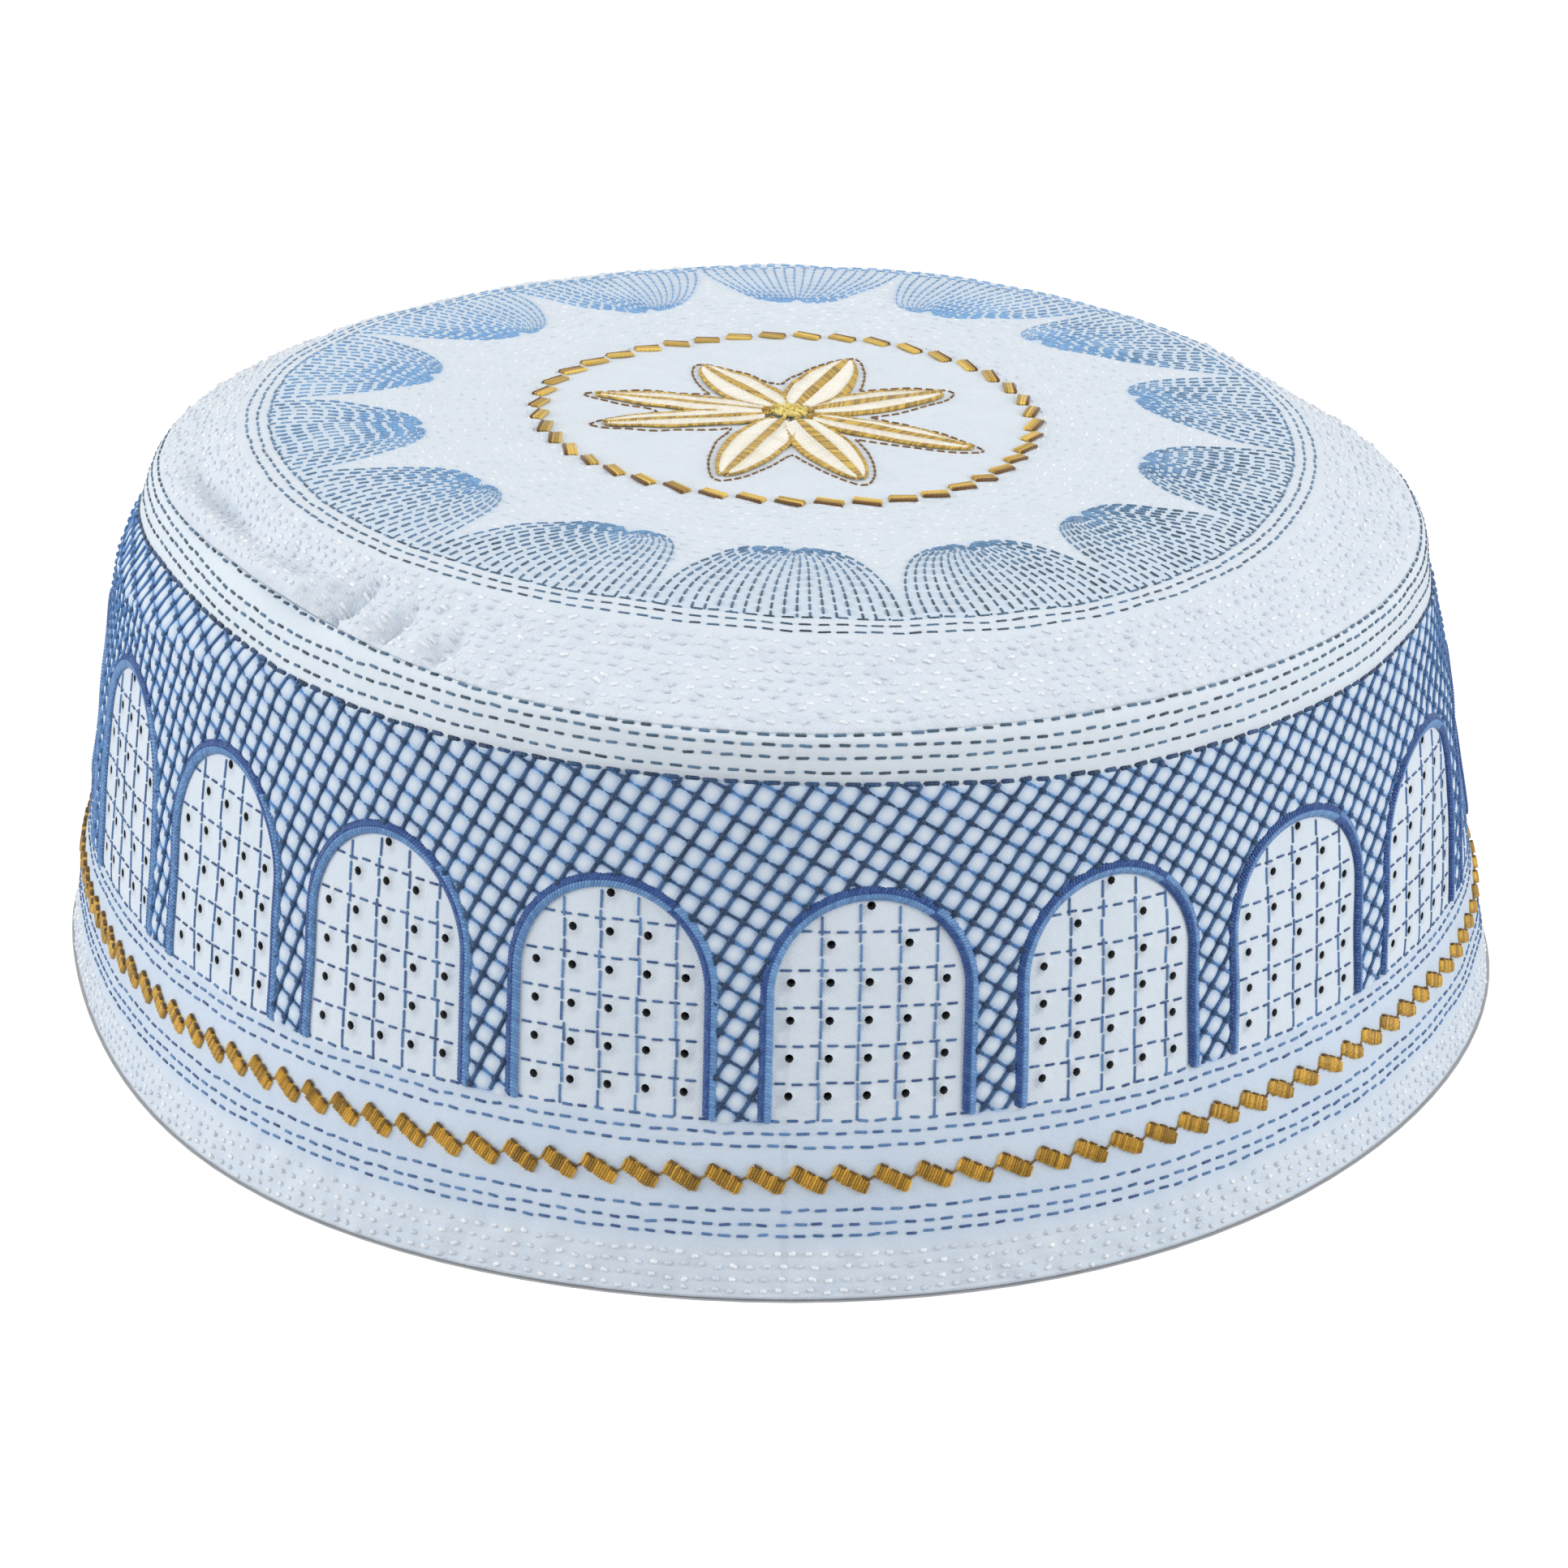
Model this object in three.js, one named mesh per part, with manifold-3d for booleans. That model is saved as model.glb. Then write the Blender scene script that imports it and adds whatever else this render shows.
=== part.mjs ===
// Kufi: a round embroidered cap that stands on its hem, made of two pieces of quilted cotton.
// The side band runs from the hem up to the seam, and the crown from the seam to the middle.
// Millimetres, +Z up. The origin is the middle of the hem's base, and the front faces -Y.
import * as THREE from "three";
import { mergeGeometries, mergeVertices } from "three/addons/utils/BufferGeometryUtils.js";
import Module from "manifold-3d";

// Driving sizes of the cap
const HEM_RADIUS = 94;
const CAP_HEIGHT = 68.7;
const WALL = 2;
const SEAM_GAP = 0.3;

// Where the middle of the outline lies from the axis that the sections turn about
const AXIS_X = -0.0232 * HEM_RADIUS;
const AXIS_Y = -0.0072 * HEM_RADIUS;

// Embroidered arches of the side band, and the eyelets punched between their grid lines. Turns
// are degrees to the right of the front. The first grid's middle is at ARCH_GRID_TURN, its
// columns are a share of the arches' pitch, and its rows a share of CAP_HEIGHT.
const ARCH_COUNT = 20;
const ARCH_GRID_TURN = 5.9;
const ARCH_COLUMNS = 5;
const COLUMN_SHARE = 0.15;
const ROW_SHARE = 0.057;
const EYELET_RADIUS = 0.65;
const EYELET_SIDES = 4;

// The cloth is drawn so that the pattern spreads away from SPREAD_MIDDLE as it rises: by
// PATTERN_SPREAD degrees at SPREAD_ROWS grid rows above the arches' feet
const PATTERN_SPREAD = 3.8;
const SPREAD_MIDDLE = -6;
const SPREAD_ROWS = 6.2;

// Facets round the cap
const ROUND_STEPS = 100;

// Outer face of the cloth, from the hem to the middle of the crown. radius is a share of
// HEM_RADIUS and height a share of CAP_HEIGHT. level says which rows of UNEVEN hold there,
// and steps is the number of facets up to the next row.
const SECTIONS = [
  { name: "hem", radius: 1, height: 0, level: 0, steps: 1 },
  { name: "chain", radius: 0.967, height: 0.1775, level: 0.23, steps: 1 },
  { name: "arch_foot", radius: 0.949, height: 0.267, level: 0.35, steps: 1 },
  { name: "wall", radius: 0.902, height: 0.543, level: 0.71, steps: 1 },
  { name: "lattice_top", radius: 0.859, height: 0.766, level: 1, steps: 1 },
  { name: "roll", radius: 0.8525, height: 0.807, level: 1.5, steps: 2 },
  { name: "seam", radius: 0.835, height: 0.887, level: 2, steps: 2 },
  { name: "slope", radius: 0.7715, height: 0.935, level: 2.5, steps: 2 },
  { name: "plateau", radius: 0.716, height: 0.976, level: 3, steps: 2 },
  { name: "gold_ring", radius: 0.3235, height: 1, level: 3, steps: 1 },
  { name: "middle", radius: 0, height: 1, level: 3, steps: 0 },
];
const FOOT_ROW = 2;
const SEAM_ROW = 6;
const PLATEAU_ROW = 8;

// How the soft cap leaves the round: waves in radius (shares of the radius there) and in height
// (shares of HEM_RADIUS), each as [cosine, sine]. r2 has two waves a turn, z1 one, and so on.
const UNEVEN = [
  {
    level: "hem", z1: [0, 0], z2: [0, 0],
    r2: [-0.019, 0.023], r3: [-0.033, 0.009], r4: [-0.001, -0.029], r5: [0.013, 0.004],
  },
  {
    level: "lattice_top", z1: [-0.027, -0.01], z2: [-0.022, 0.002],
    r2: [0.004, 0.017], r3: [-0.013, 0.004], r4: [0.014, -0.001], r5: [-0.003, -0.002],
  },
  {
    level: "seam", z1: [-0.037, 0.001], z2: [-0.008, 0],
    r2: [-0.013, -0.014], r3: [0.01, 0.012], r4: [0.02, 0.001], r5: [-0.009, 0.004],
  },
  {
    level: "plateau", z1: [-0.034, -0.003], z2: [-0.005, 0.003],
    r2: [-0.009, 0.018], r3: [-0.015, 0.01], r4: [0, -0.002], r5: [0.003, 0.006],
  },
];
const RADIUS_WAVES = { r2: 2, r3: 3, r4: 4, r5: 5 };
const HEIGHT_WAVES = { z1: 1, z2: 2 };

// Share of the waves in radius that the hem's back is without. From there it lessens up to the
// seam and round to the sides.
const BACK_CALM = 0.7;

// Puckers of the crown's sloping band by the front left. turn is degrees to the right of the
// front, and along a place between SECTIONS rows. tilt turns a fold's length from level towards
// the middle. length and width are shares of HEM_RADIUS, and lift a share of WALL.
const PUCKERS = [
  { name: "long_fold", turn: -71, along: 6.8, tilt: 0, length: 0.125, width: 0.025, lift: -0.45 },
  { name: "left_puff", turn: -51.5, along: 6.25, tilt: 0, length: 0.08, width: 0.03, lift: 0.5 },
  { name: "crease", turn: -42.3, along: 6.57, tilt: 68, length: 0.05, width: 0.025, lift: -0.6 },
  { name: "soft_dent", turn: -36, along: 6.6, tilt: 75, length: 0.035, width: 0.025, lift: -0.3 },
  { name: "next_dent", turn: -30, along: 6.5, tilt: 75, length: 0.03, width: 0.025, lift: -0.25 },
];

// Eyelets of one arch. column and row count grid cells from the left foot, and across and up
// are the hole's place in its cell.
const EYELETS = [
  { column: 2, row: 5, across: 0.24, up: 0.67 },
  { column: 1, row: 4, across: 0.24, up: 0.67 },
  { column: 3, row: 4, across: 0.24, up: 0.67 },
  { column: 0, row: 2, across: 0.24, up: 0.67 },
  { column: 4, row: 2, across: 0.24, up: 0.67 },
  { column: 2, row: 1, across: 0.24, up: 0.67 },
];

const wasm = await Module();
wasm.setup();

// Polar angle of a place named in degrees to the right of the front
const turnToAngle = (turn) => THREE.MathUtils.degToRad(turn - 90);

// Pair of UNEVEN between the two levels that hold it
function unevenAt(key, level) {
  const low = Math.min(Math.floor(level), UNEVEN.length - 2);
  const share = level - low;
  return UNEVEN[low][key].map((value, i) =>
    THREE.MathUtils.lerp(value, UNEVEN[low + 1][key][i], share));
}

// Sum of the waves of one kind at an angle, at a level
function waveSum(kinds, level, angle) {
  let sum = 0;
  for (const [key, count] of Object.entries(kinds)) {
    const [cosine, sine] = unevenAt(key, level);
    sum += cosine * Math.cos(count * angle) + sine * Math.sin(count * angle);
  }
  return sum;
}

// Share of the waves in radius that holds at a level and an angle
function unevenShare(level, angle) {
  const behind = THREE.MathUtils.smoothstep(Math.sin(angle), 0, 1);
  const below = Math.max(1 - level / SECTIONS[SEAM_ROW].level, 0);
  return 1 - BACK_CALM * behind * below;
}

// Smooth outline through the section rows, in millimetres: x is the radius, y the height
const outline = new THREE.CatmullRomCurve3(SECTIONS.map(
  (row) => new THREE.Vector3(row.radius * HEM_RADIUS, row.height * CAP_HEIGHT, 0)),
false, "centripetal");

// Radius, height, level and outward direction of the outline at a place between section rows
function outlineAt(along) {
  const last = SECTIONS.length - 1;
  const share = Math.min(along / last, 1);
  const place = outline.getPoint(share);
  const slope = outline.getTangent(share);
  const low = Math.min(Math.floor(along), last - 1);
  const level = THREE.MathUtils.lerp(SECTIONS[low].level, SECTIONS[low + 1].level, along - low);
  return { radius: place.x, height: place.y, level, out: new THREE.Vector2(slope.y, -slope.x) };
}

// How far the puckers lift the cloth at a place
function puckerLift(angle, along) {
  const here = outlineAt(along);
  let lift = 0;
  for (const fold of PUCKERS) {
    const at = outlineAt(fold.along);
    const turned = angle - turnToAngle(fold.turn);
    const wrapped = Math.atan2(Math.sin(turned), Math.cos(turned));
    const level = wrapped * at.radius;
    const inward = Math.sign(along - fold.along)
      * Math.hypot(here.radius - at.radius, here.height - at.height);
    const tilt = THREE.MathUtils.degToRad(fold.tilt);
    const run = (level * Math.cos(tilt) + inward * Math.sin(tilt)) / (fold.length * HEM_RADIUS);
    const side = (inward * Math.cos(tilt) - level * Math.sin(tilt)) / (fold.width * HEM_RADIUS);
    lift += fold.lift * WALL * Math.exp(-run * run - side * side);
  }
  return lift;
}

// Point of the cloth at an angle and a place on the outline, a depth below the outer face.
// The hem is cut level, so there the depth runs straight in.
function clothPoint(angle, along, depth) {
  const { radius, height, level, out } = outlineAt(along);
  const inward = depth - (along > 0 ? puckerLift(angle, along) : 0);
  const slant = along > 0 ? out : new THREE.Vector2(1, 0);
  const r = radius - slant.x * inward;
  const z = height - slant.y * inward;
  const fade = Math.min(radius / (SECTIONS[PLATEAU_ROW].radius * HEM_RADIUS), 1);
  const waves = unevenShare(level, angle) * waveSum(RADIUS_WAVES, level, angle);
  const around = r * (1 + waves);
  const rise = HEM_RADIUS * fade * waveSum(HEIGHT_WAVES, level, angle);
  return new THREE.Vector3(
    around * Math.cos(angle) - AXIS_X, around * Math.sin(angle) - AXIS_Y, z + rise);
}

// Places on the outline where the facets of a piece meet, from one section row to another
function facetPlaces(from, to) {
  const places = [];
  for (let row = from; row < to; row += 1) {
    const { steps } = SECTIONS[row];
    for (let i = 0; i < steps; i += 1) places.push(row + i / steps);
  }
  return [...places, to];
}

// Closed body of cloth from a loop of rows { along, depth }. A row in the middle of the crown is
// one point, and the loop isn't carried on between two such points.
function clothGeometry(rows) {
  const positions = [];
  const rings = rows.map(({ along, depth }) => {
    const pole = along === SECTIONS.length - 1;
    const ring = [];
    for (let j = 0; j < (pole ? 1 : ROUND_STEPS); j += 1) {
      const p = clothPoint((2 * Math.PI * j) / ROUND_STEPS, along, depth);
      ring.push(positions.length / 3);
      positions.push(p.x, p.y, p.z);
    }
    return ring;
  });
  const faces = [];
  rings.forEach((low, i) => {
    const high = rings[(i + 1) % rings.length];
    if (low.length === 1 && high.length === 1) return;
    for (let j = 0; j < ROUND_STEPS; j += 1) {
      const k = (j + 1) % ROUND_STEPS;
      if (high.length === 1) faces.push(low[j], low[k], high[0]);
      else if (low.length === 1) faces.push(low[0], high[k], high[j]);
      else faces.push(low[j], low[k], high[k], low[j], high[k], high[j]);
    }
  });
  const geometry = new THREE.BufferGeometry();
  geometry.setAttribute("position", new THREE.Float32BufferAttribute(positions, 3));
  geometry.setIndex(faces);
  return geometry;
}

// Rows of a wall's loop: up its outer face and back down its inner face
function wallRows(places) {
  const outer = places.map((along) => ({ along, depth: 0 }));
  const inner = [...places].reverse().map((along) => ({ along, depth: WALL }));
  return [...outer, ...inner];
}

// The same closed geometry as a solid for cutting
function toSolid(geometry) {
  const bare = geometry.clone();
  bare.deleteAttribute("normal");
  bare.deleteAttribute("uv");
  const merged = mergeVertices(bare, 1e-4);
  return new wasm.Manifold(new wasm.Mesh({
    numProp: 3,
    vertProperties: merged.getAttribute("position").array,
    triVerts: new Uint32Array(merged.getIndex().array),
  }));
}

function fromSolid(solid) {
  const { vertProperties, triVerts } = solid.getMesh();
  const geometry = new THREE.BufferGeometry();
  geometry.setAttribute("position", new THREE.BufferAttribute(vertProperties, 3));
  geometry.setIndex(new THREE.BufferAttribute(triVerts, 1));
  return geometry;
}

// Turn on the cloth of a place of the pattern, a number of grid rows above the arches' feet
function spreadTurn(turn, rows) {
  const away = THREE.MathUtils.degToRad(turn - SPREAD_MIDDLE);
  return turn + PATTERN_SPREAD * (rows / SPREAD_ROWS) * Math.sin(away);
}

// Punches that cut the eyelets, each square to the wall and longer than it is thick
function eyeletPunches() {
  const punches = [];
  const pitch = 360 / ARCH_COUNT;
  const foot = outlineAt(FOOT_ROW).height;
  for (let arch = 0; arch < ARCH_COUNT; arch += 1) {
    const middle = ARCH_GRID_TURN + arch * pitch;
    for (const hole of EYELETS) {
      const column = hole.column + hole.across - ARCH_COLUMNS / 2;
      const rows = hole.row + hole.up;
      const turn = spreadTurn(middle + column * COLUMN_SHARE * pitch, rows);
      const along = placeOfHeight(foot + rows * ROW_SHARE * CAP_HEIGHT);
      punches.push(punchAt(turnToAngle(turn), along));
    }
  }
  return mergeGeometries(punches);
}

// Place between section rows where the outline reaches a height
function placeOfHeight(height) {
  let low = 0;
  let high = SEAM_ROW;
  while (high - low > 1e-6) {
    const middle = (low + high) / 2;
    if (outlineAt(middle).height < height) low = middle;
    else high = middle;
  }
  return low;
}

function punchAt(angle, along) {
  const outer = clothPoint(angle, along, 0);
  const inner = clothPoint(angle, along, WALL);
  const geometry = new THREE.CylinderGeometry(EYELET_RADIUS, EYELET_RADIUS, 3 * WALL, EYELET_SIDES);
  const up = new THREE.Vector3(0, 1, 0);
  const through = outer.clone().sub(inner).normalize();
  geometry.applyQuaternion(new THREE.Quaternion().setFromUnitVectors(up, through));
  const middle = outer.clone().lerp(inner, 0.5);
  geometry.translate(middle.x, middle.y, middle.z);
  return geometry;
}

// Share of the way from the seam row to its neighbour that half the seam gap takes
function seamShare(neighbour) {
  const seam = outline.getPoint(SEAM_ROW / (SECTIONS.length - 1));
  const next = outline.getPoint(neighbour / (SECTIONS.length - 1));
  return SEAM_GAP / 2 / seam.distanceTo(next);
}

function sideBand() {
  const places = facetPlaces(0, SEAM_ROW);
  places[places.length - 1] = SEAM_ROW - seamShare(SEAM_ROW - 1);
  const wall = toSolid(clothGeometry(wallRows(places)));
  return fromSolid(wall.subtract(toSolid(eyeletPunches())));
}

function crown() {
  const places = facetPlaces(SEAM_ROW, SECTIONS.length - 1);
  places[0] = SEAM_ROW + seamShare(SEAM_ROW + 1);
  return clothGeometry(wallRows(places));
}

function piece(name, geometry, color) {
  const material = new THREE.MeshStandardMaterial({ color, roughness: 0.85, metalness: 0 });
  const mesh = new THREE.Mesh(geometry, material);
  mesh.name = name;
  return mesh;
}

const kufi = new THREE.Group();
kufi.add(piece("side_band", sideBand(), 0xdfe9f5));
kufi.add(piece("crown", crown(), 0xeef1f8));

export default kufi;
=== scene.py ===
"""Embroidered kufi cap: quilted cotton, blue and gold thread, on a plain pale floor."""
from collections import namedtuple

import bpy
import numpy as np
from bpy.props import FloatProperty, FloatVectorProperty, IntProperty, PointerProperty
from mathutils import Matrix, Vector


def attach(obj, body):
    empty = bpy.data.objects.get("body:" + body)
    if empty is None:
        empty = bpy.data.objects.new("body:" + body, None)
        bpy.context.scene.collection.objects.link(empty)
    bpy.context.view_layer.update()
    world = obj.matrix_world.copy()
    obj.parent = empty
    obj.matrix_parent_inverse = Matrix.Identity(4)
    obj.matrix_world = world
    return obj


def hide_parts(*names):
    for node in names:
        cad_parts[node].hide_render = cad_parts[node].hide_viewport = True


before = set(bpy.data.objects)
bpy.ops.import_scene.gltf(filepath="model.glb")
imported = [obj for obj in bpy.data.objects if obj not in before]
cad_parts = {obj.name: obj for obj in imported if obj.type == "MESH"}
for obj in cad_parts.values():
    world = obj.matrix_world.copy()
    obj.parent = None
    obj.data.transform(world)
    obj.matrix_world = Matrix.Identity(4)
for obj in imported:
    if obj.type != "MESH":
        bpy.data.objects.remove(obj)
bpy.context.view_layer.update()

bl_info = {
    "name": "Embroidered Kufi",
    "version": (1, 0, 0),
    "blender": (4, 5, 0),
    "location": "View3D > Sidebar > Kufi",
    "description": "Builds an embroidered kufi cap of two quilted cotton pieces",
    "category": "Mesh",
}

MM = 0.001

# Outer face of the cloth from the hem to the middle of the crown. radius is a share of the hem
# radius, height a share of the cap's height, and level says which rows of UNEVEN hold there.
Section = namedtuple("Section", "name radius height level")
SECTIONS = [
    Section("hem", 1, 0, 0),
    Section("chain", 0.967, 0.1775, 0.23),
    Section("arch_foot", 0.949, 0.267, 0.35),
    Section("wall", 0.902, 0.543, 0.71),
    Section("lattice_top", 0.859, 0.766, 1),
    Section("roll", 0.8525, 0.807, 1.5),
    Section("seam", 0.835, 0.887, 2),
    Section("slope", 0.7715, 0.935, 2.5),
    Section("plateau", 0.716, 0.976, 3),
    Section("gold_ring", 0.3235, 1, 3),
    Section("middle", 0, 1, 3),
]
# Rows of SECTIONS that other measures start from
FOOT_ROW = 2
SEAM_ROW = 6
PLATEAU_ROW = 8
GOLD_ROW = 9

# How the soft cap leaves the round: waves in radius (shares of it) and in height (shares of the
# hem radius), each as cosine and sine. r2 has two waves a turn, z1 one, and so on.
Uneven = namedtuple("Uneven", "level r2 r3 r4 r5 z1 z2")
UNEVEN = [
    Uneven("hem", (-0.019, 0.023), (-0.033, 0.009), (-0.001, -0.029), (0.013, 0.004),
           (0, 0), (0, 0)),
    Uneven("lattice_top", (0.004, 0.017), (-0.013, 0.004), (0.014, -0.001), (-0.003, -0.002),
           (-0.027, -0.01), (-0.022, 0.002)),
    Uneven("seam", (-0.013, -0.014), (0.01, 0.012), (0.02, 0.001), (-0.009, 0.004),
           (-0.037, 0.001), (-0.008, 0)),
    Uneven("plateau", (-0.009, 0.018), (-0.015, 0.01), (0, -0.002), (0.003, 0.006),
           (-0.034, -0.003), (-0.005, 0.003)),
]
RADIUS_WAVES = {"r2": 2, "r3": 3, "r4": 4, "r5": 5}
HEIGHT_WAVES = {"z1": 1, "z2": 2}
# How much calmer the hem is at the back, and where the axis stands, in shares of the hem radius
BACK_CALM = 0.7
AXIS_SHARES = (-0.0232, -0.0072)

# Puckers of the crown's sloping band. turn is degrees to the right of the front, above the
# millimetres over the seam, tilt turns a fold from level towards the middle, and length, width
# and lift are millimetres.
Pucker = namedtuple("Pucker", "name turn above tilt length width lift")
PUCKERS = [
    Pucker("long_fold", -71, 5.6, 0, 12, 1.7, -1.82),
    Pucker("long_puff", -70, 2.4, 0, 13, 2.0, 1.22),
    Pucker("left_puff", -51.5, 1.5, 0, 7.5, 1.8, 2.74),
    Pucker("crease", -42.3, 3.9, 68, 4.7, 1.0, -3.28),
    Pucker("near_puff", -46.5, 3.2, 60, 4.0, 1.8, 1.92),
    Pucker("soft_dent", -36, 4.2, 75, 3.3, 1.3, -1.92),
    Pucker("soft_puff", -39, 3.0, 75, 3.5, 1.6, 1.01),
    Pucker("next_dent", -30, 3.2, 75, 2.8, 1.3, -1.36),
    Pucker("next_puff", -33, 3.0, 80, 2.8, 1.6, 0.7),
    Pucker("last_dent", -23, 2.2, 80, 2.2, 1.2, -0.7),
    Pucker("far_dent", -16, 1.6, 80, 1.6, 1.2, -0.51),
]

# Fine crumples between the puckers: turn of their middle and reach to each side in degrees,
# and millimetres over the seam, half depth and lift
Crumples = namedtuple("Crumples", "turn reach above depth lift")
CRUMPLES = Crumples(-38, 22, 2.6, 2.4, 0.5)

# Rows of stitches round the side band: height in millimetres, dash and gap along the row, and
# how far the row pulls the cloth in
Row = namedtuple("Row", "name height dash gap pull")
LOW_ROWS = [
    Row("under_hem_3", 6.6, 1.4, 0.6, 0.12),
    Row("under_hem_2", 7.75, 1.4, 0.6, 0.12),
    Row("under_hem_1", 9.25, 1.4, 0.6, 0.12),
    Row("over_chain_2", 15.75, 1.4, 0.6, 0.12),
    Row("over_chain_1", 17.1, 1.4, 0.6, 0.12),
    Row("arch_foot", 18.4, 1.3, 0.6, 0.12),
]
LATTICE_TOP = Row("lattice_top", 52.9, 1.9, 0.25, 0.16)
ROLL_ROWS = [
    Row("roll_3", 55.5, 1.4, 0.6, 0.16),
    Row("roll_2", 57.7, 1.4, 0.6, 0.16),
    Row("roll_1", 59.4, 1.4, 0.6, 0.16),
    Row("seam_row", 60.75, 1.4, 0.6, 0.1),
]
WHITE_ROWS = [
    Row("hem_4", 0.8, 0.9, 0.85, 0.16),
    Row("hem_3", 2.0, 0.9, 0.85, 0.16),
    Row("hem_2", 3.3, 0.9, 0.85, 0.16),
    Row("hem_1", 4.6, 0.9, 0.85, 0.16),
]

# Eyelets of one arch: the grid columns that are punched in each row, from the foot upwards
EYELET_COLUMNS = [(0, 1, 2, 3, 4), (0, 1, 2, 3, 4), (0, 1, 2, 3, 4), (0, 1, 2, 3, 4),
                  (1, 2, 3), (2,)]
# The two arches by the front, whose fifth row leaves its middle eyelet out
OPEN_ARCHES = (0, 1)
OPEN_ROW = 4
OPEN_COLUMNS = (1, 3)
# Grid of one arch: its columns, a column's share of the arches' pitch and a row's share of the
# cap's height, where an eyelet lies in its cell, in shares of the cell, and its radius in
# millimetres
ARCH_COLUMNS = 5
COLUMN_SHARE = 0.15
ROW_SHARE = 0.057
EYELET_ACROSS = 0.24
EYELET_UP = 0.67
EYELET_RADIUS = 0.47
# An arch's leg and the height of its head above that, in millimetres
ARCH_LEG = 13.1
ARCH_HEAD = 10.4

# Mesh columns and rows to a cell of that grid, mesh rows of the inner face to a row of eyelets,
# and the eight mesh points round an eyelet's middle, as rows up and columns to the right
CELL_STEPS = 6
INNER_STEPS = 3
AROUND = [(0, -1), (-1, -1), (-1, 0), (-1, 1), (0, 1), (1, 1), (1, 0), (1, -1)]
CROWN_COLUMNS = 600
# Millimetres from the middle of a groove to the mesh rows beside it
GROOVE_HALF = 0.45

# Depth of the grooves that the quilting, the blue rings, the seam and the gold ring pull in, and
# how far they reach to each side, in millimetres
BAND_PULL = 0.2
RINGS_PULL = 0.14
FIELD_PULL = 0.1
PULL_REACH = 0.5
SEAM_PULL = (0.25, 0.8)
GOLD_PULL = (0.12, 1.0)

# The pattern spreads away from SPREAD_MIDDLE as it rises, by PATTERN_SPREAD degrees at
# SPREAD_ROWS grid rows above the arches' feet and SPREAD_MOST times that at the most
PATTERN_SPREAD = 3.8
SPREAD_MIDDLE = -6
SPREAD_ROWS = 6.2
SPREAD_MOST = 1.4
# and at the right it lies further round, by RIGHT_SHIFT degrees at RIGHT_TURN, which fades
# over RIGHT_REACH degrees to each side
RIGHT_SHIFT = 8
RIGHT_TURN = 72
RIGHT_REACH = 22
# The lattice has its own shift there: degrees, turn and reach
LATTICE_SHIFT = (10, 82, 24)

# Where the pattern climbs above its usual heights, in millimetres. turn is the middle of the
# climb and spread its reach, in degrees. shares say how much of it holds at each height.
Climb = namedtuple("Climb", "name turn spread rise heights shares")
CLIMBS = [
    Climb("left", -76, 30, 4.6, (18.4, 43, 52.9, 60.9), (0, 1, 0.78, 0)),
    Climb("left_dip", -50, 16, -1.4, (52.9, 55.5, 59.4, 60.9), (0, 0.8, 1, 0)),
    Climb("right_dip", 26, 16, -0.9, (45, 52.9, 59.4, 60.9), (0, 1, 0.9, 0)),
    Climb("right", 72, 20, 1.6, (30, 52.9, 60.9), (0, 1, 0)),
]

# The side band laid flat spans this share of its turn. LATTICE_START is where the lattice's
# first crossing lies, in steps along its steep and shallow threads from the flat strip's front.
FLAT_SHARE = 0.24
LATTICE_START = (0.07, -0.24)

# Fans of the crown, to the right from the front: lean is how many degrees a tip leans to the
# right, and round how round its edge is. A plain ellipse is 1, and less is rounder.
Fan = namedtuple("Fan", "name lean round")
FANS = [
    Fan("front", 1.7, 0.8),
    Fan("right_1", 1.0, 0.8),
    Fan("right_2", -1.4, 0.85),
    Fan("right_3", 2.0, 0.9),
    Fan("right_4", 6.0, 0.95),
    Fan("right_5", 9.0, 1.0),
    Fan("right_6", 4.0, 1.0),
    Fan("back", 0, 1.0),
    Fan("left_6", 0, 1.0),
    Fan("left_5", 0, 1.0),
    Fan("left_4", 0, 1.0),
    Fan("left_3", 0, 1.0),
    Fan("left_2", 1.5, 0.9),
    Fan("left_1", 4.0, 0.82),
]

# Petals of the flower: turn in degrees, length and half width in millimetres
Petal = namedtuple("Petal", "name turn length half")
PETALS = [
    Petal("front_right", 20, 24.5, 3.4),
    Petal("right_front", 67, 25.5, 2.8),
    Petal("right_back", 118, 21.8, 3.0),
    Petal("back_right", 160, 21.7, 3.4),
    Petal("back_left", -146, 20.5, 3.4),
    Petal("left_back", -101, 24.7, 2.6),
    Petal("left_front", -74, 24.3, 2.6),
    Petal("front_left", -18, 25.5, 3.4),
]
# Millimetres from the flower's middle to where a petal starts
PETAL_START = 1.6

# Half width of a fan's tip, in degrees
FAN_TIP_HALF = 1.3

# Gold bars: length and width in millimetres, threads in a bar, and lean of the chain's threads
# or of the ring's bars, in degrees
Bar = namedtuple("Bar", "length width threads lean")
CHAIN_BAR = Bar(4.15, 1.9, 13, 26)
RING_BAR = Bar(3.6, 1.6, 4, 22)
# Turn of the chain's first bar, in degrees
CHAIN_START = 1.2

# Threads: corners round a stitch, shortest stitch that is kept and length of one twist, and the
# weave's pitch, in millimetres. The weave is drawn coarser than poplin's, so that it shows.
STITCH_SIDES = 5
SHORTEST = 0.05
TWIST = 0.55
WEAVE_PITCH = 0.42

FLOOR_DROP = -0.0002
FLOOR_RADIUS = 3.0

# Seeded, so that each run lays the same stitches
RNG = np.random.default_rng(58)


def wrapped(turn):
    """The same turn, counted from minus 180 to 180 degrees."""
    return (turn + 180) % 360 - 180


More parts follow.
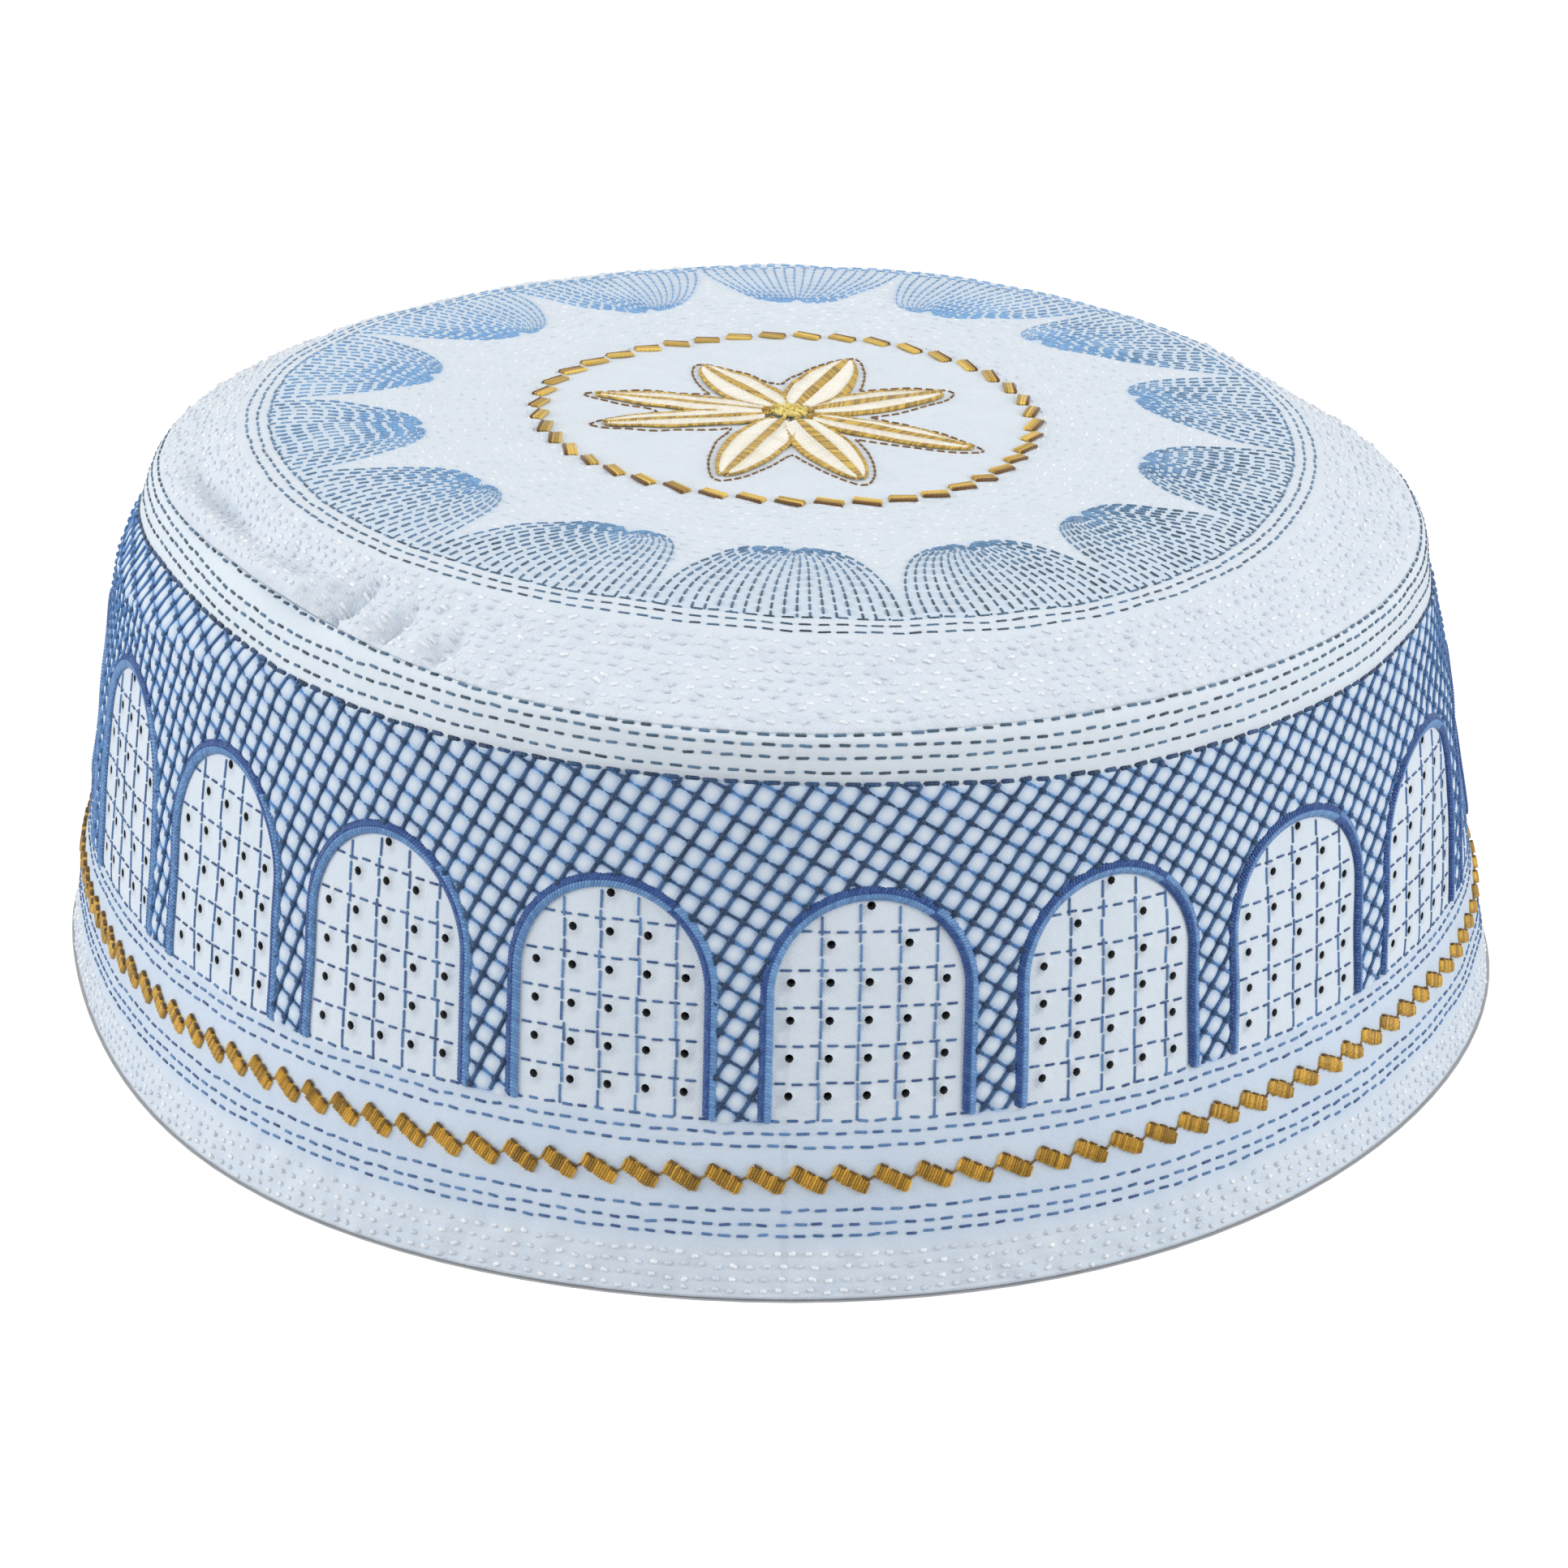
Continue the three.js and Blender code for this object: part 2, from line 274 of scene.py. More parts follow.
class Cloth:
    """The cap's outer face, in millimetres.

    A centripetal Catmull-Rom curve through the section rows gives radius and height. Waves in
    the angle scale the radius and raise the height. A place is given by its turn, in degrees to
    the right of the front, and by run, the millimetres along the outline from the hem.
    """

    def __init__(self, form):
        self.hem = form.hem_radius / MM
        self.wall = form.wall / MM
        self.gap = form.seam_gap / MM
        shares = np.array([[s.radius * self.hem, s.height * form.cap_height / MM]
                           for s in SECTIONS])
        self.rows = shares
        self.levels = np.array([s.level for s in SECTIONS])
        self.axis = self.hem * np.array(AXIS_SHARES)
        self.fine = np.linspace(0, len(shares) - 1, 8001)
        self.radii, self.heights = self.outline(self.fine)[:2]
        steps = np.hypot(np.diff(self.radii), np.diff(self.heights))
        self.runs = np.concatenate([[0], np.cumsum(steps)])
        self.on_side = self.fine <= SEAM_ROW
        self.seam = self.run_of_row(SEAM_ROW)
        self.plateau = self.run_of_row(PLATEAU_ROW)
        self.end = self.runs[-1]
        self.pulls = []

    def run_of_row(self, row):
        return float(np.interp(row, self.fine, self.runs))

    def run_of_height(self, height):
        side = self.on_side
        return np.interp(height, self.heights[side], self.runs[side])

    def run_of_radius(self, radius):
        top = ~self.on_side
        return np.interp(-np.asarray(radius), -self.radii[top], self.runs[top])

    def radius_at(self, run):
        return np.interp(run, self.runs, self.radii)

    def height_at(self, run):
        return np.interp(run, self.runs, self.heights)

    @staticmethod
    def climbed(turn, height):
        """Height on the cloth of a height in the pattern."""
        total = height
        for climb in CLIMBS:
            away = wrapped(turn - climb.turn)
            share = np.interp(height, climb.heights, climb.shares)
            total = total + climb.rise * share * np.exp(-(away / climb.spread) ** 2)
        return total

    def climb(self, turn, run):
        """Run on the cloth of a run in the pattern. Only the side band's ornament climbs."""
        turn, run = np.broadcast_arrays(np.asarray(turn, float), np.asarray(run, float))
        height = self.climbed(turn, self.height_at(run))
        return np.where(run < self.seam, self.run_of_height(height), run)

    def unclimb(self, turn, run):
        """The run in the pattern that climb() takes to this run on the cloth."""
        height = home = self.height_at(run)
        for _ in range(6):
            home = height - (self.climbed(turn, home) - home)
        return np.where(run < self.seam, self.run_of_height(home), run)

    def outline(self, along):
        """Radius, height, level and outward direction at a place between section rows."""
        rows = self.rows
        ends = np.vstack([2 * rows[0] - rows[1], rows, 2 * rows[-1] - rows[-2]])
        low = np.minimum(along.astype(int), len(rows) - 2)
        part = (along - low)[..., None]
        before, start, stop, after = ends[low], ends[low + 1], ends[low + 2], ends[low + 3]

        def root(a, b):
            return np.sqrt(np.linalg.norm(a - b, axis=-1))[..., None]

        d0, d1, d2 = root(before, start), root(start, stop), root(stop, after)
        t1 = ((start - before) / d0 - (stop - before) / (d0 + d1) + (stop - start) / d1) * d1
        t2 = ((stop - start) / d1 - (after - start) / (d1 + d2) + (after - stop) / d2) * d1
        square = -3 * start + 3 * stop - 2 * t1 - t2
        cube = 2 * start - 2 * stop + t1 + t2
        place = start + t1 * part + square * part ** 2 + cube * part ** 3
        slope = t1 + 2 * square * part + 3 * cube * part ** 2
        slope = slope / np.linalg.norm(slope, axis=-1)[..., None]
        share = part[..., 0]
        level = self.levels[low] * (1 - share) + self.levels[low + 1] * share
        return place[..., 0], place[..., 1], level, np.stack([slope[..., 1], -slope[..., 0]], -1)

    def waves(self, kinds, level, angle):
        total = 0
        low = np.minimum(level.astype(int), len(UNEVEN) - 2)
        share = (level - low)[..., None]
        for key, count in kinds.items():
            pairs = np.array([getattr(row, key) for row in UNEVEN], float)
            pair = pairs[low] * (1 - share) + pairs[low + 1] * share
            total = total + pair[..., 0] * np.cos(count * angle) + pair[..., 1] * np.sin(
                count * angle)
        return total

    def relief(self, turn, run):
        """Millimetres that the quilting, the puckers and the cloth's own softness lift a place."""
        lift = 0.12 * soft_waves(turn, run, 11, (9, 40), 0.55)
        lumpy = np.clip((run - self.seam) / 2, 0, 1) * np.clip((self.plateau - run) / 2, 0, 1)
        lumpy = lumpy + np.clip((7 - run) / 2, 0, 1)
        lift = lift + 0.2 * lumpy * soft_waves(turn, run, 12, (70, 170), 1.9)
        home = self.unclimb(turn, run)
        for at, pull, width in self.pulls:
            lift = lift - pull * np.exp(-((home - at) / width) ** 2)
        for fold in PUCKERS:
            at = self.seam + fold.above
            away = wrapped(turn - fold.turn)
            level = np.radians(away) * self.radius_at(at)
            inward = run - at
            tilt = np.radians(fold.tilt)
            length = (level * np.cos(tilt) + inward * np.sin(tilt)) / fold.length
            side = (inward * np.cos(tilt) - level * np.sin(tilt)) / fold.width
            lift = lift + fold.lift * np.exp(-length ** 2 - side ** 2) * (run > self.seam)
        above = run - self.seam
        away = wrapped(turn - CRUMPLES.turn)
        near = np.exp(-(away / CRUMPLES.reach) ** 2
                      - ((above - CRUMPLES.above) / CRUMPLES.depth) ** 2)
        near = near * np.clip(above, 0, 1)
        return lift + CRUMPLES.lift * near * soft_waves(turn, run, 13, (70, 170), 1.5)

    def point(self, turn, run, lift=0.0, plain=False):
        """Points of the cloth at a lift above its outer face, as an array of x, y and z."""
        turn, run, lift = np.broadcast_arrays(
            np.asarray(turn, float), np.asarray(run, float), np.asarray(lift, float))
        radius, height, level, out = self.outline(np.interp(run, self.runs, self.fine))
        at_hem = run <= 0
        out = np.where(at_hem[..., None], np.array([1.0, 0.0]), out)
        if not plain:
            lift = lift + np.where(at_hem, 0, self.relief(turn, run))
        angle = np.radians(turn - 90)
        behind = np.clip(np.sin(angle), 0, 1)
        behind = behind * behind * (3 - 2 * behind)
        below = np.maximum(1 - level / self.levels[SEAM_ROW], 0)
        share = 1 - BACK_CALM * behind * below
        round_it = 1 + share * self.waves(RADIUS_WAVES, level, angle)
        fade = np.minimum(radius / self.rows[PLATEAU_ROW, 0], 1)
        rise = self.hem * fade * self.waves(HEIGHT_WAVES, level, angle)
        around = (radius + out[..., 0] * lift) * round_it
        return np.stack([
            around * np.cos(angle) - self.axis[0],
            around * np.sin(angle) - self.axis[1],
            height + out[..., 1] * lift + rise,
        ], -1)

    def normal(self, turn, run):
        """Outward unit vectors of the cloth without its relief."""
        level = self.point(turn + 0.2, run, plain=True) - self.point(turn - 0.2, run, plain=True)
        up = self.point(turn, run + 0.2, plain=True) - self.point(turn, run - 0.2, plain=True)
        return unit(np.cross(level, up))


class Pattern:
    """Where the side band's ornament lies, in pattern turns (degrees) and heights (mm)."""

    def __init__(self, cloth, settings):
        self.cloth = cloth
        self.count = settings.arch_count
        self.pitch = 360 / self.count
        self.grid_turn = settings.grid_turn
        self.arch_turn = settings.arch_turn
        self.foot = float(cloth.rows[FOOT_ROW, 1])
        self.row = ROW_SHARE * float(cloth.rows[-1, 1])
        self.column = COLUMN_SHARE * self.pitch
        self.half = settings.arch_half
        self.spring = self.foot + ARCH_LEG
        self.head = ARCH_HEAD
        self.foot_run = float(cloth.run_of_height(self.foot))
        self.apex = float(cloth.radius_at(self.foot_run)) / FLAT_SHARE
        self.threads = np.array([
            [settings.steep_step / MM * np.cos(settings.steep_angle),
             settings.steep_step / MM * np.sin(settings.steep_angle)],
            [settings.shallow_step / MM * np.cos(settings.shallow_angle),
             -settings.shallow_step / MM * np.sin(settings.shallow_angle)]]).T

    def turn(self, turn, height, lattice=False):
        """The cloth's own turn at a place of the pattern, which spreads as it rises. The
        lattice's shift at the right is the same at every height."""
        share = np.clip((height - self.foot) / self.row / SPREAD_ROWS, 0, SPREAD_MOST)
        shift, middle, reach = RIGHT_SHIFT * (0.25 + 0.75 * share), RIGHT_TURN, RIGHT_REACH
        if lattice:
            shift, middle, reach = LATTICE_SHIFT
        away = wrapped(turn - middle)
        right = shift * np.exp(-(away / reach) ** 2)
        return turn + PATTERN_SPREAD * share * np.sin(np.radians(turn - SPREAD_MIDDLE)) + right

    def unturn(self, on_cloth, height, lattice=False):
        """The turn of the pattern that turn() takes to this turn on the cloth."""
        home = on_cloth
        for _ in range(12):
            home = home + on_cloth - self.turn(home, height, lattice)
        return home

    def on_cloth(self, turn, height):
        """Turn and run on the cloth of a place in the pattern."""
        turn = self.turn(turn, height)
        return turn, self.cloth.climb(turn, self.cloth.run_of_height(height))

    def point(self, turn, height, lift=0.0):
        return self.cloth.point(*self.on_cloth(turn, height), lift)

    def normal(self, turn, height):
        return self.cloth.normal(*self.on_cloth(turn, height))

    def degrees_per_mm(self, height):
        run = self.cloth.run_of_height(height)
        return 1 / np.radians(self.cloth.radius_at(run))

    def half_at(self, height):
        """Half of an arch's width at a height, to the middle of its cord, in degrees."""
        up = np.clip((height - self.spring) / self.head, 0, 1)
        return self.half * np.sqrt(1 - up * up)

    def inside_arch(self, turn, height):
        away = (turn - self.arch_turn + self.pitch / 2) % self.pitch - self.pitch / 2
        between = (height > self.foot) & (height < self.spring + self.head)
        return (np.abs(away) < self.half_at(height)) & between

    def on_lattice(self, turn, height):
        between = (height > self.foot) & (height < LATTICE_TOP.height)
        return between & ~self.inside_arch(turn, height)

    def flat(self, turn, height):
        """Flat x and y of a place, with the side band cut at the back and laid flat as a curved
        strip: its distance from the strip's centre is apex less the run above the arches' feet."""
        turn = self.unturn(self.turn(turn, height), height, True)
        far = self.apex - (self.cloth.run_of_height(height) - self.foot_run)
        angle = np.radians(turn) * FLAT_SHARE
        return np.stack([far * np.sin(angle), self.apex - far * np.cos(angle)])

    def crossing(self, along, across):
        """Turn and height of a crossing of the lattice, which is one straight grid on the flat
        strip. along counts steps up a steep thread, across steps down a shallow one."""
        x, y = np.tensordot(self.threads, np.stack(np.broadcast_arrays(
            along + LATTICE_START[0], across + LATTICE_START[1])), 1)
        far = np.hypot(x, self.apex - y)
        turn = np.degrees(np.arctan2(x, self.apex - y)) / FLAT_SHARE
        height = self.cloth.height_at(self.foot_run + self.apex - far)
        return self.unturn(self.turn(turn, height, True), height), height

    def steps(self, turn, height):
        """How many lattice steps a place lies along a steep and along a shallow thread."""
        start = np.array(LATTICE_START).reshape((2,) + (1,) * np.ndim(turn))
        return np.tensordot(np.linalg.inv(self.threads), self.flat(turn, height), 1) - start

    def on_strip(self, turn, height):
        """On the lattice's ground, and not beyond the strip's ends at the back."""
        return self.on_lattice(turn, height) & (np.abs(turn) < 180)


def soft_waves(turn, run, seed, counts, slope):
    """A seeded unevenness from about -1 to 1, as a sum of eight sines of turn and run."""
    rng = np.random.default_rng(seed)
    total = 0
    for _ in range(8):
        around = rng.integers(*counts)
        along = rng.uniform(-slope, slope)
        phase = rng.uniform(0, 2 * np.pi)
        total = total + np.sin(around * np.radians(turn) + along * run + phase)
    return total / 4


def unit(vectors):
    return vectors / np.maximum(np.linalg.norm(vectors, axis=-1, keepdims=True), 1e-12)


def linear(code):
    """Linear colour of an sRGB hex code."""
    values = np.array([int(code[i:i + 2], 16) for i in (0, 2, 4)]) / 255
    bent = np.where(values <= 0.04045, values / 12.92, ((values + 0.055) / 1.055) ** 2.4)
    return (*bent.tolist(), 1.0)


def node(tree, kind, inputs=(), **settings):
    """Adds a node with its settings. inputs are values, sockets or nodes, in order or by socket,
    and a node there stands for its first output."""
    made = tree.nodes.new(kind)
    for key, value in settings.items():
        setattr(made, key, value)
    for socket, value in inputs.items() if isinstance(inputs, dict) else enumerate(inputs):
        if isinstance(value, bpy.types.Node):
            value = value.outputs[0]
        if isinstance(value, bpy.types.NodeSocket):
            tree.links.new(value, made.inputs[socket])
        else:
            made.inputs[socket].default_value = value
    return made


def finish_surface(tree, colors, share, height, strength, distance, **sockets):
    """Gives the surface its two colours mixed by share, a bump and constant sockets."""
    shader = tree.nodes["Principled BSDF"]
    for key, value in sockets.items():
        shader.inputs[key.replace("_", " ")].default_value = value
    color = node(tree, "ShaderNodeMix", {0: share, 6: colors[0], 7: colors[1]}, data_type="RGBA")
    bump = node(tree, "ShaderNodeBump",
                {"Height": height, "Strength": strength, "Distance": distance})
    tree.links.new(color.outputs[2], shader.inputs["Base Color"])
    tree.links.new(bump.outputs[0], shader.inputs["Normal"])


def new_material(name):
    made = bpy.data.materials.new(name)
    made.use_nodes = True
    return made, made.node_tree


def sine_product(tree, layer, scale):
    """The sine of u times the sine of v of a UV layer, both times scale first."""
    place = node(tree, "ShaderNodeUVMap", uv_map=layer)
    split = node(tree, "ShaderNodeSeparateXYZ", [place])
    sines = []
    for axis in (0, 1):
        turned = node(tree, "ShaderNodeMath", [split.outputs[axis], scale], operation="MULTIPLY")
        sines.append(node(tree, "ShaderNodeMath", [turned], operation="SINE"))
    return node(tree, "ShaderNodeMath", sines, operation="MULTIPLY")


def weighted_sum(tree, terms):
    """The sum of each source times its share."""
    total = 0.0
    for source, share in terms:
        total = node(tree, "ShaderNodeMath", [source, share, total], operation="MULTIPLY_ADD")
    return total


def lattice_tint(tree, tint):
    """Tint that fades to the middle of each lattice cell: with s the product of the sines of both
    steps, tint times one less 0.9 of s to the 0.75, where the attribute tint is over a half. The
    blue that gathers by the threads, where the padded cells dip, is partly the threads' own blue
    and partly painted shade."""
    cell = sine_product(tree, "LatticeSteps", np.pi)
    for operation, value in (("ABSOLUTE", 0.0), ("POWER", 0.75), ("MULTIPLY", 0.9)):
        cell = node(tree, "ShaderNodeMath", [cell, value], operation=operation)
    ground = node(tree, "ShaderNodeMath", [tint, 0.5], operation="GREATER_THAN")
    faded = node(tree, "ShaderNodeMath", [cell, ground], operation="MULTIPLY")
    faded = node(tree, "ShaderNodeMath", [1.0, faded], operation="SUBTRACT")
    return node(tree, "ShaderNodeMath", [tint, faded], operation="MULTIPLY")


def cotton(name, plain, tinted, lump=3.5, depth=0.00012, lattice=False):
    """Cotton poplin in plain weave, washed pale. The eye sees its fine over-and-under threads and
    a tint that deepens among the blue stitches, carried by the attribute tint. On the lattice that
    tint also holds painted shade by the threads and painted light towards the sides."""
    made, tree = new_material(name)
    place = node(tree, "ShaderNodeTexCoord").outputs["Object"]
    fuzz, broad, lumps = (
        node(tree, "ShaderNodeTexNoise", {"Vector": place, "Scale": scale, "Detail": detail})
        for scale, detail in ((1400.0, 3.0), (160.0, 2.0), (620.0, 2.0)))
    weave = sine_product(tree, "UVMap", 2 * np.pi / WEAVE_PITCH)
    height = weighted_sum(tree, ((weave, 0.35), (fuzz, 1.1), (lumps, lump)))
    tint = node(tree, "ShaderNodeAttribute", attribute_name="tint").outputs["Fac"]
    if lattice:
        tint = lattice_tint(tree, tint)
    color = node(tree, "ShaderNodeMix", {0: tint, 6: linear(plain), 7: linear(tinted)},
                 data_type="RGBA").outputs[2]
    worn = node(tree, "ShaderNodeMath", [broad, 0.22], operation="MULTIPLY")
    finish_surface(tree, (color, linear("ffffff")), worn, height, 0.35, depth, Roughness=0.82,
                   Sheen_Weight=0.25, Specular_IOR_Level=0.25)
    return made


def thread(name, dark, light, roughness=0.45):
    """Two-ply embroidery thread. The eye sees the slanting gloss of its twist, and each stitch a
    little lighter or darker than the next, by the attribute tone. For some stitches that tone also
    holds painted light and shade: the cords' halves, the lattice's knots and sides, and the
    crown's rings and fans."""
    made, tree = new_material(name)
    place = node(tree, "ShaderNodeUVMap", uv_map="UVMap")
    split = node(tree, "ShaderNodeSeparateXYZ", [place])
    slant = weighted_sum(tree, ((split.outputs[0], 2 * np.pi),
                                (split.outputs[1], 2 * np.pi / TWIST)))
    ply = node(tree, "ShaderNodeMath", [slant], operation="SINE")
    tone = node(tree, "ShaderNodeAttribute", attribute_name="tone").outputs["Fac"]
    finish_surface(tree, (linear(dark), linear(light)), tone, ply, 0.5, 0.00006,
                   Roughness=roughness, Metallic=0.0, Sheen_Weight=0.2, Specular_IOR_Level=0.45)
    return made


MATERIALS = {
    "side": lambda: cotton("side_cotton", "dde7ef", "6a9fd8", lattice=True),
    "crown": lambda: cotton("crown_cotton", "dee6ef", "b4d3ee", lump=8.0, depth=0.00034),
    # The eyelets' walls: the cloth's cut edge, coloured dark grey as the painted shade inside each
    # eyelet
    "cut": lambda: cotton("cut_cotton_painted_shade", "4a5560", "4a5560"),
    "blue": lambda: thread("blue_rayon", "23457a", "6c9bd0"),
    "navy": lambda: thread("navy_rayon", "123052", "5590d0"),
    "cord": lambda: thread("cord_rayon", "1a468c", "82b4e6", roughness=0.4),
    "slate": lambda: thread("slate_cotton", "2a4454", "86b6e4"),
    "white": lambda: thread("white_cotton", "d3dce8", "fbfdff", roughness=0.6),
    "chain": lambda: thread("chain_rayon", "553808", "ecb944", roughness=0.36),
    "gold": lambda: thread("gold_rayon", "6f4812", "f5cf62", roughness=0.36),
    "cream": lambda: thread("cream_rayon", "ece2c4", "fffcf2", roughness=0.45),
    "yellow": lambda: thread("yellow_rayon", "cfae3c", "f6e88f", roughness=0.4),
}


MADE = {}


def material(key):
    """The cap's material of that key, made the first time it is asked for."""
    if key not in MADE:
        MADE[key] = MATERIALS[key]()
    return MADE[key]


def add_mesh(name, points, quads, triangles, key, uv, attribute, values, steps=None):
    """A closed, smooth mesh object at the origin. points are millimetres. Unused points go.
    steps, if any, become a second UV map."""
    corners = np.concatenate([quads.ravel(), triangles.ravel()])
    used, corners = np.unique(corners, return_inverse=True)
    points, uv, values = points[used], uv[used], values[used]
    starts = np.concatenate([np.arange(len(quads)) * 4,
                             quads.size + np.arange(len(triangles)) * 3])
    mesh = bpy.data.meshes.new(name)
    mesh.vertices.add(len(points))
    mesh.vertices.foreach_set("co", (points * MM).astype(np.float32).ravel())
    mesh.loops.add(len(corners))
    mesh.loops.foreach_set("vertex_index", corners.astype(np.int32))
    mesh.polygons.add(len(starts))
    mesh.polygons.foreach_set("loop_start", starts.astype(np.int32))
    mesh.update(calc_edges=True)
    mesh.polygons.foreach_set("use_smooth", np.ones(len(starts), bool))
    layer = mesh.uv_layers.new(name="UVMap")
    layer.data.foreach_set("uv", uv[corners].astype(np.float32).ravel())
    if steps is not None:
        layer = mesh.uv_layers.new(name="LatticeSteps")
        layer.data.foreach_set("uv", steps[used][corners].astype(np.float32).ravel())
    stored = mesh.attributes.new(attribute, "FLOAT", "POINT")
    stored.data.foreach_set("value", values.astype(np.float32))
    mesh.validate()
    mesh.materials.append(material(key))
    made = bpy.data.objects.new(name, mesh)
    bpy.context.scene.collection.objects.link(made)
    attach(made, "root")
    return made


def add_stitches(name, parts, key):
    """Threads as closed spindles, one from each start to its end.

    Two rings of five corners lie near the ends, flattened against the cloth, and a point closes
    each end. parts are tuples of starts, ends, normals, half width, half height and tone.
    """
    starts, ends, normals, wide, high, tone = (
        np.concatenate([np.broadcast_to(np.asarray(part[i], float),
                                        (len(part[0]),) + np.shape(part[i])[1:])
                        if np.ndim(part[i]) else np.full(len(part[0]), float(part[i]))
                        for part in parts])
        for i in range(6))
    keep = np.linalg.norm(ends - starts, axis=1) > SHORTEST
    starts, ends, normals, wide, high, tone = (
        values[keep] for values in (starts, ends, normals, wide, high, tone))
    length = np.linalg.norm(ends - starts, axis=1)
    run = (ends - starts) / length[:, None]
    across = unit(np.cross(run, normals))
    up = np.cross(across, run)
    sides = STITCH_SIDES
    angles = -np.pi / 2 + 2 * np.pi * (np.arange(sides) + 0.5) / sides
    around = (across[:, None] * (wide[:, None] * np.cos(angles))[..., None]
              + up[:, None] * (high[:, None] * np.sin(angles))[..., None])
    inset = np.minimum(0.9 * wide, 0.3 * length)
    near, far = starts + run * inset[:, None], ends - run * inset[:, None]
    sink = up * (0.7 * high)[:, None]
    points = np.concatenate([
        (starts - sink)[:, None], near[:, None] + around, far[:, None] + around,
        (ends - sink)[:, None]], 1)
    count, each = len(starts), 2 * sides + 2
    u = np.concatenate([[0.5], np.arange(sides) / sides, np.arange(sides) / sides, [0.5]])
    offset = RNG.uniform(0, 1, count)
    v = np.concatenate([np.zeros((count, 1)), np.repeat(inset[:, None], sides, 1),
                        np.repeat((length - inset)[:, None], sides, 1), length[:, None]], 1)
    uv = np.stack([np.broadcast_to(u, (count, each)), v + offset[:, None]], -1)
    k = np.arange(sides)
    n = (k + 1) % sides
    ring = np.stack([1 + k, 1 + sides + k, 1 + sides + n, 1 + n], 1)
    cap_low = np.stack([np.zeros(sides, int), 1 + k, 1 + n], 1)
    cap_high = np.stack([np.full(sides, each - 1), 1 + sides + n, 1 + sides + k], 1)
    base = (np.arange(count) * each)[:, None, None]
    quads = (ring[None] + base).reshape(-1, 4)
    caps = (np.concatenate([cap_low, cap_high])[None] + base).reshape(-1, 3)
    return add_mesh(name, points.reshape(-1, 3), quads, caps, key,
                    uv.reshape(-1, 2), "tone", np.repeat(tone, each))


def tones(count, low, high):
    return RNG.uniform(low, high, count)


def dash_row(cloth, run, dash, gap, lift, wide, high, tone, keep=None, wobble=0.06):
    """One row of running stitches round the cap, at a run along the outline."""
    radius = float(cloth.radius_at(run))
    count = max(3, int(round(2 * np.pi * radius / (dash + gap))))
    pitch = 360 / count
    half = pitch / 2 * dash / (dash + gap)
    middle = (np.arange(count) + RNG.uniform(0, 1)) * pitch + RNG.normal(0, 0.04, count) * pitch
    half = half * RNG.uniform(0.88, 1.1, count)
    runs = run + RNG.normal(0, wobble, count)
    if keep is not None:
        chosen = keep(middle, runs)
        middle, half, runs = middle[chosen], half[chosen], runs[chosen]
    tip = RNG.normal(0, wobble * 0.6, len(middle))
    start, stop = middle - half, middle + half
    return (cloth.point(start, cloth.climb(start, runs - tip), lift),
            cloth.point(stop, cloth.climb(stop, runs + tip), lift),
            cloth.normal(middle, cloth.climb(middle, runs)), wide, high,
            tones(len(middle), *tone))


def cloth_of(context):
    """The cloth with every pulled-in row of quilting on it."""
    cloth = Cloth(context.scene.kufi_form)
    for row in LOW_ROWS + [LATTICE_TOP] + ROLL_ROWS + WHITE_ROWS:
        cloth.pulls.append((float(cloth.run_of_height(row.height)), row.pull, PULL_REACH))
    for runs, depth in ((band_runs, BAND_PULL), (crown_ring_runs, RINGS_PULL),
                        (field_runs, FIELD_PULL)):
        cloth.pulls.extend((run, depth, PULL_REACH) for run in runs(cloth))
    cloth.pulls.append((cloth.seam, *SEAM_PULL))
    cloth.pulls.append((float(cloth.run_of_radius(cloth.rows[GOLD_ROW, 0])), *GOLD_PULL))
    return cloth


def band_runs(cloth):
    """Rows of white quilting on the crown's sloping band, from the seam to the three rings."""
    low = cloth.seam + 1.4
    high = cloth.run_of_row(PLATEAU_ROW) - 1.6
    return np.linspace(low, high, 9).tolist()


def crown_ring_runs(cloth):
    """The three blue rings where the crown turns level."""
    middle = cloth.run_of_row(PLATEAU_ROW) + 1.6
    return [middle - 1.4, middle, middle + 1.4]


def field_runs(cloth):
    """Rows of white quilting on the level crown, from inside the rings to the gold ring."""
    low = cloth.run_of_row(PLATEAU_ROW) + 4.5
    high = float(cloth.run_of_radius(cloth.rows[GOLD_ROW, 0] + 2.2))
    return np.linspace(low, high, 19).tolist()


def spaced_runs(marks, low, high, step):
    """Runs of the mesh rows: three at each mark, for its groove, and none further than step."""
    runs = {low, high}
    for mark in marks:
        for offset in (-GROOVE_HALF, 0.0, GROOVE_HALF):
            if low + 0.15 < mark + offset < high - 0.15:
                runs.add(mark + offset)
    runs = sorted(runs)
    full = [runs[0]]
    for run in runs[1:]:
        parts = max(1, int(np.ceil((run - full[-1]) / step)))
        full.extend(np.linspace(full[-1], run, parts + 1)[1:].tolist())
    return np.array(full)


def strip_quads(rows, closed):
    """Quads between the rows of point numbers, closed round, and from the last row to the first
    where closed."""
    low = rows if closed else rows[:-1]
    high = np.roll(rows, -1, 0) if closed else rows[1:]
    return np.stack([low, np.roll(low, -1, 1), np.roll(high, -1, 1), high], -1)


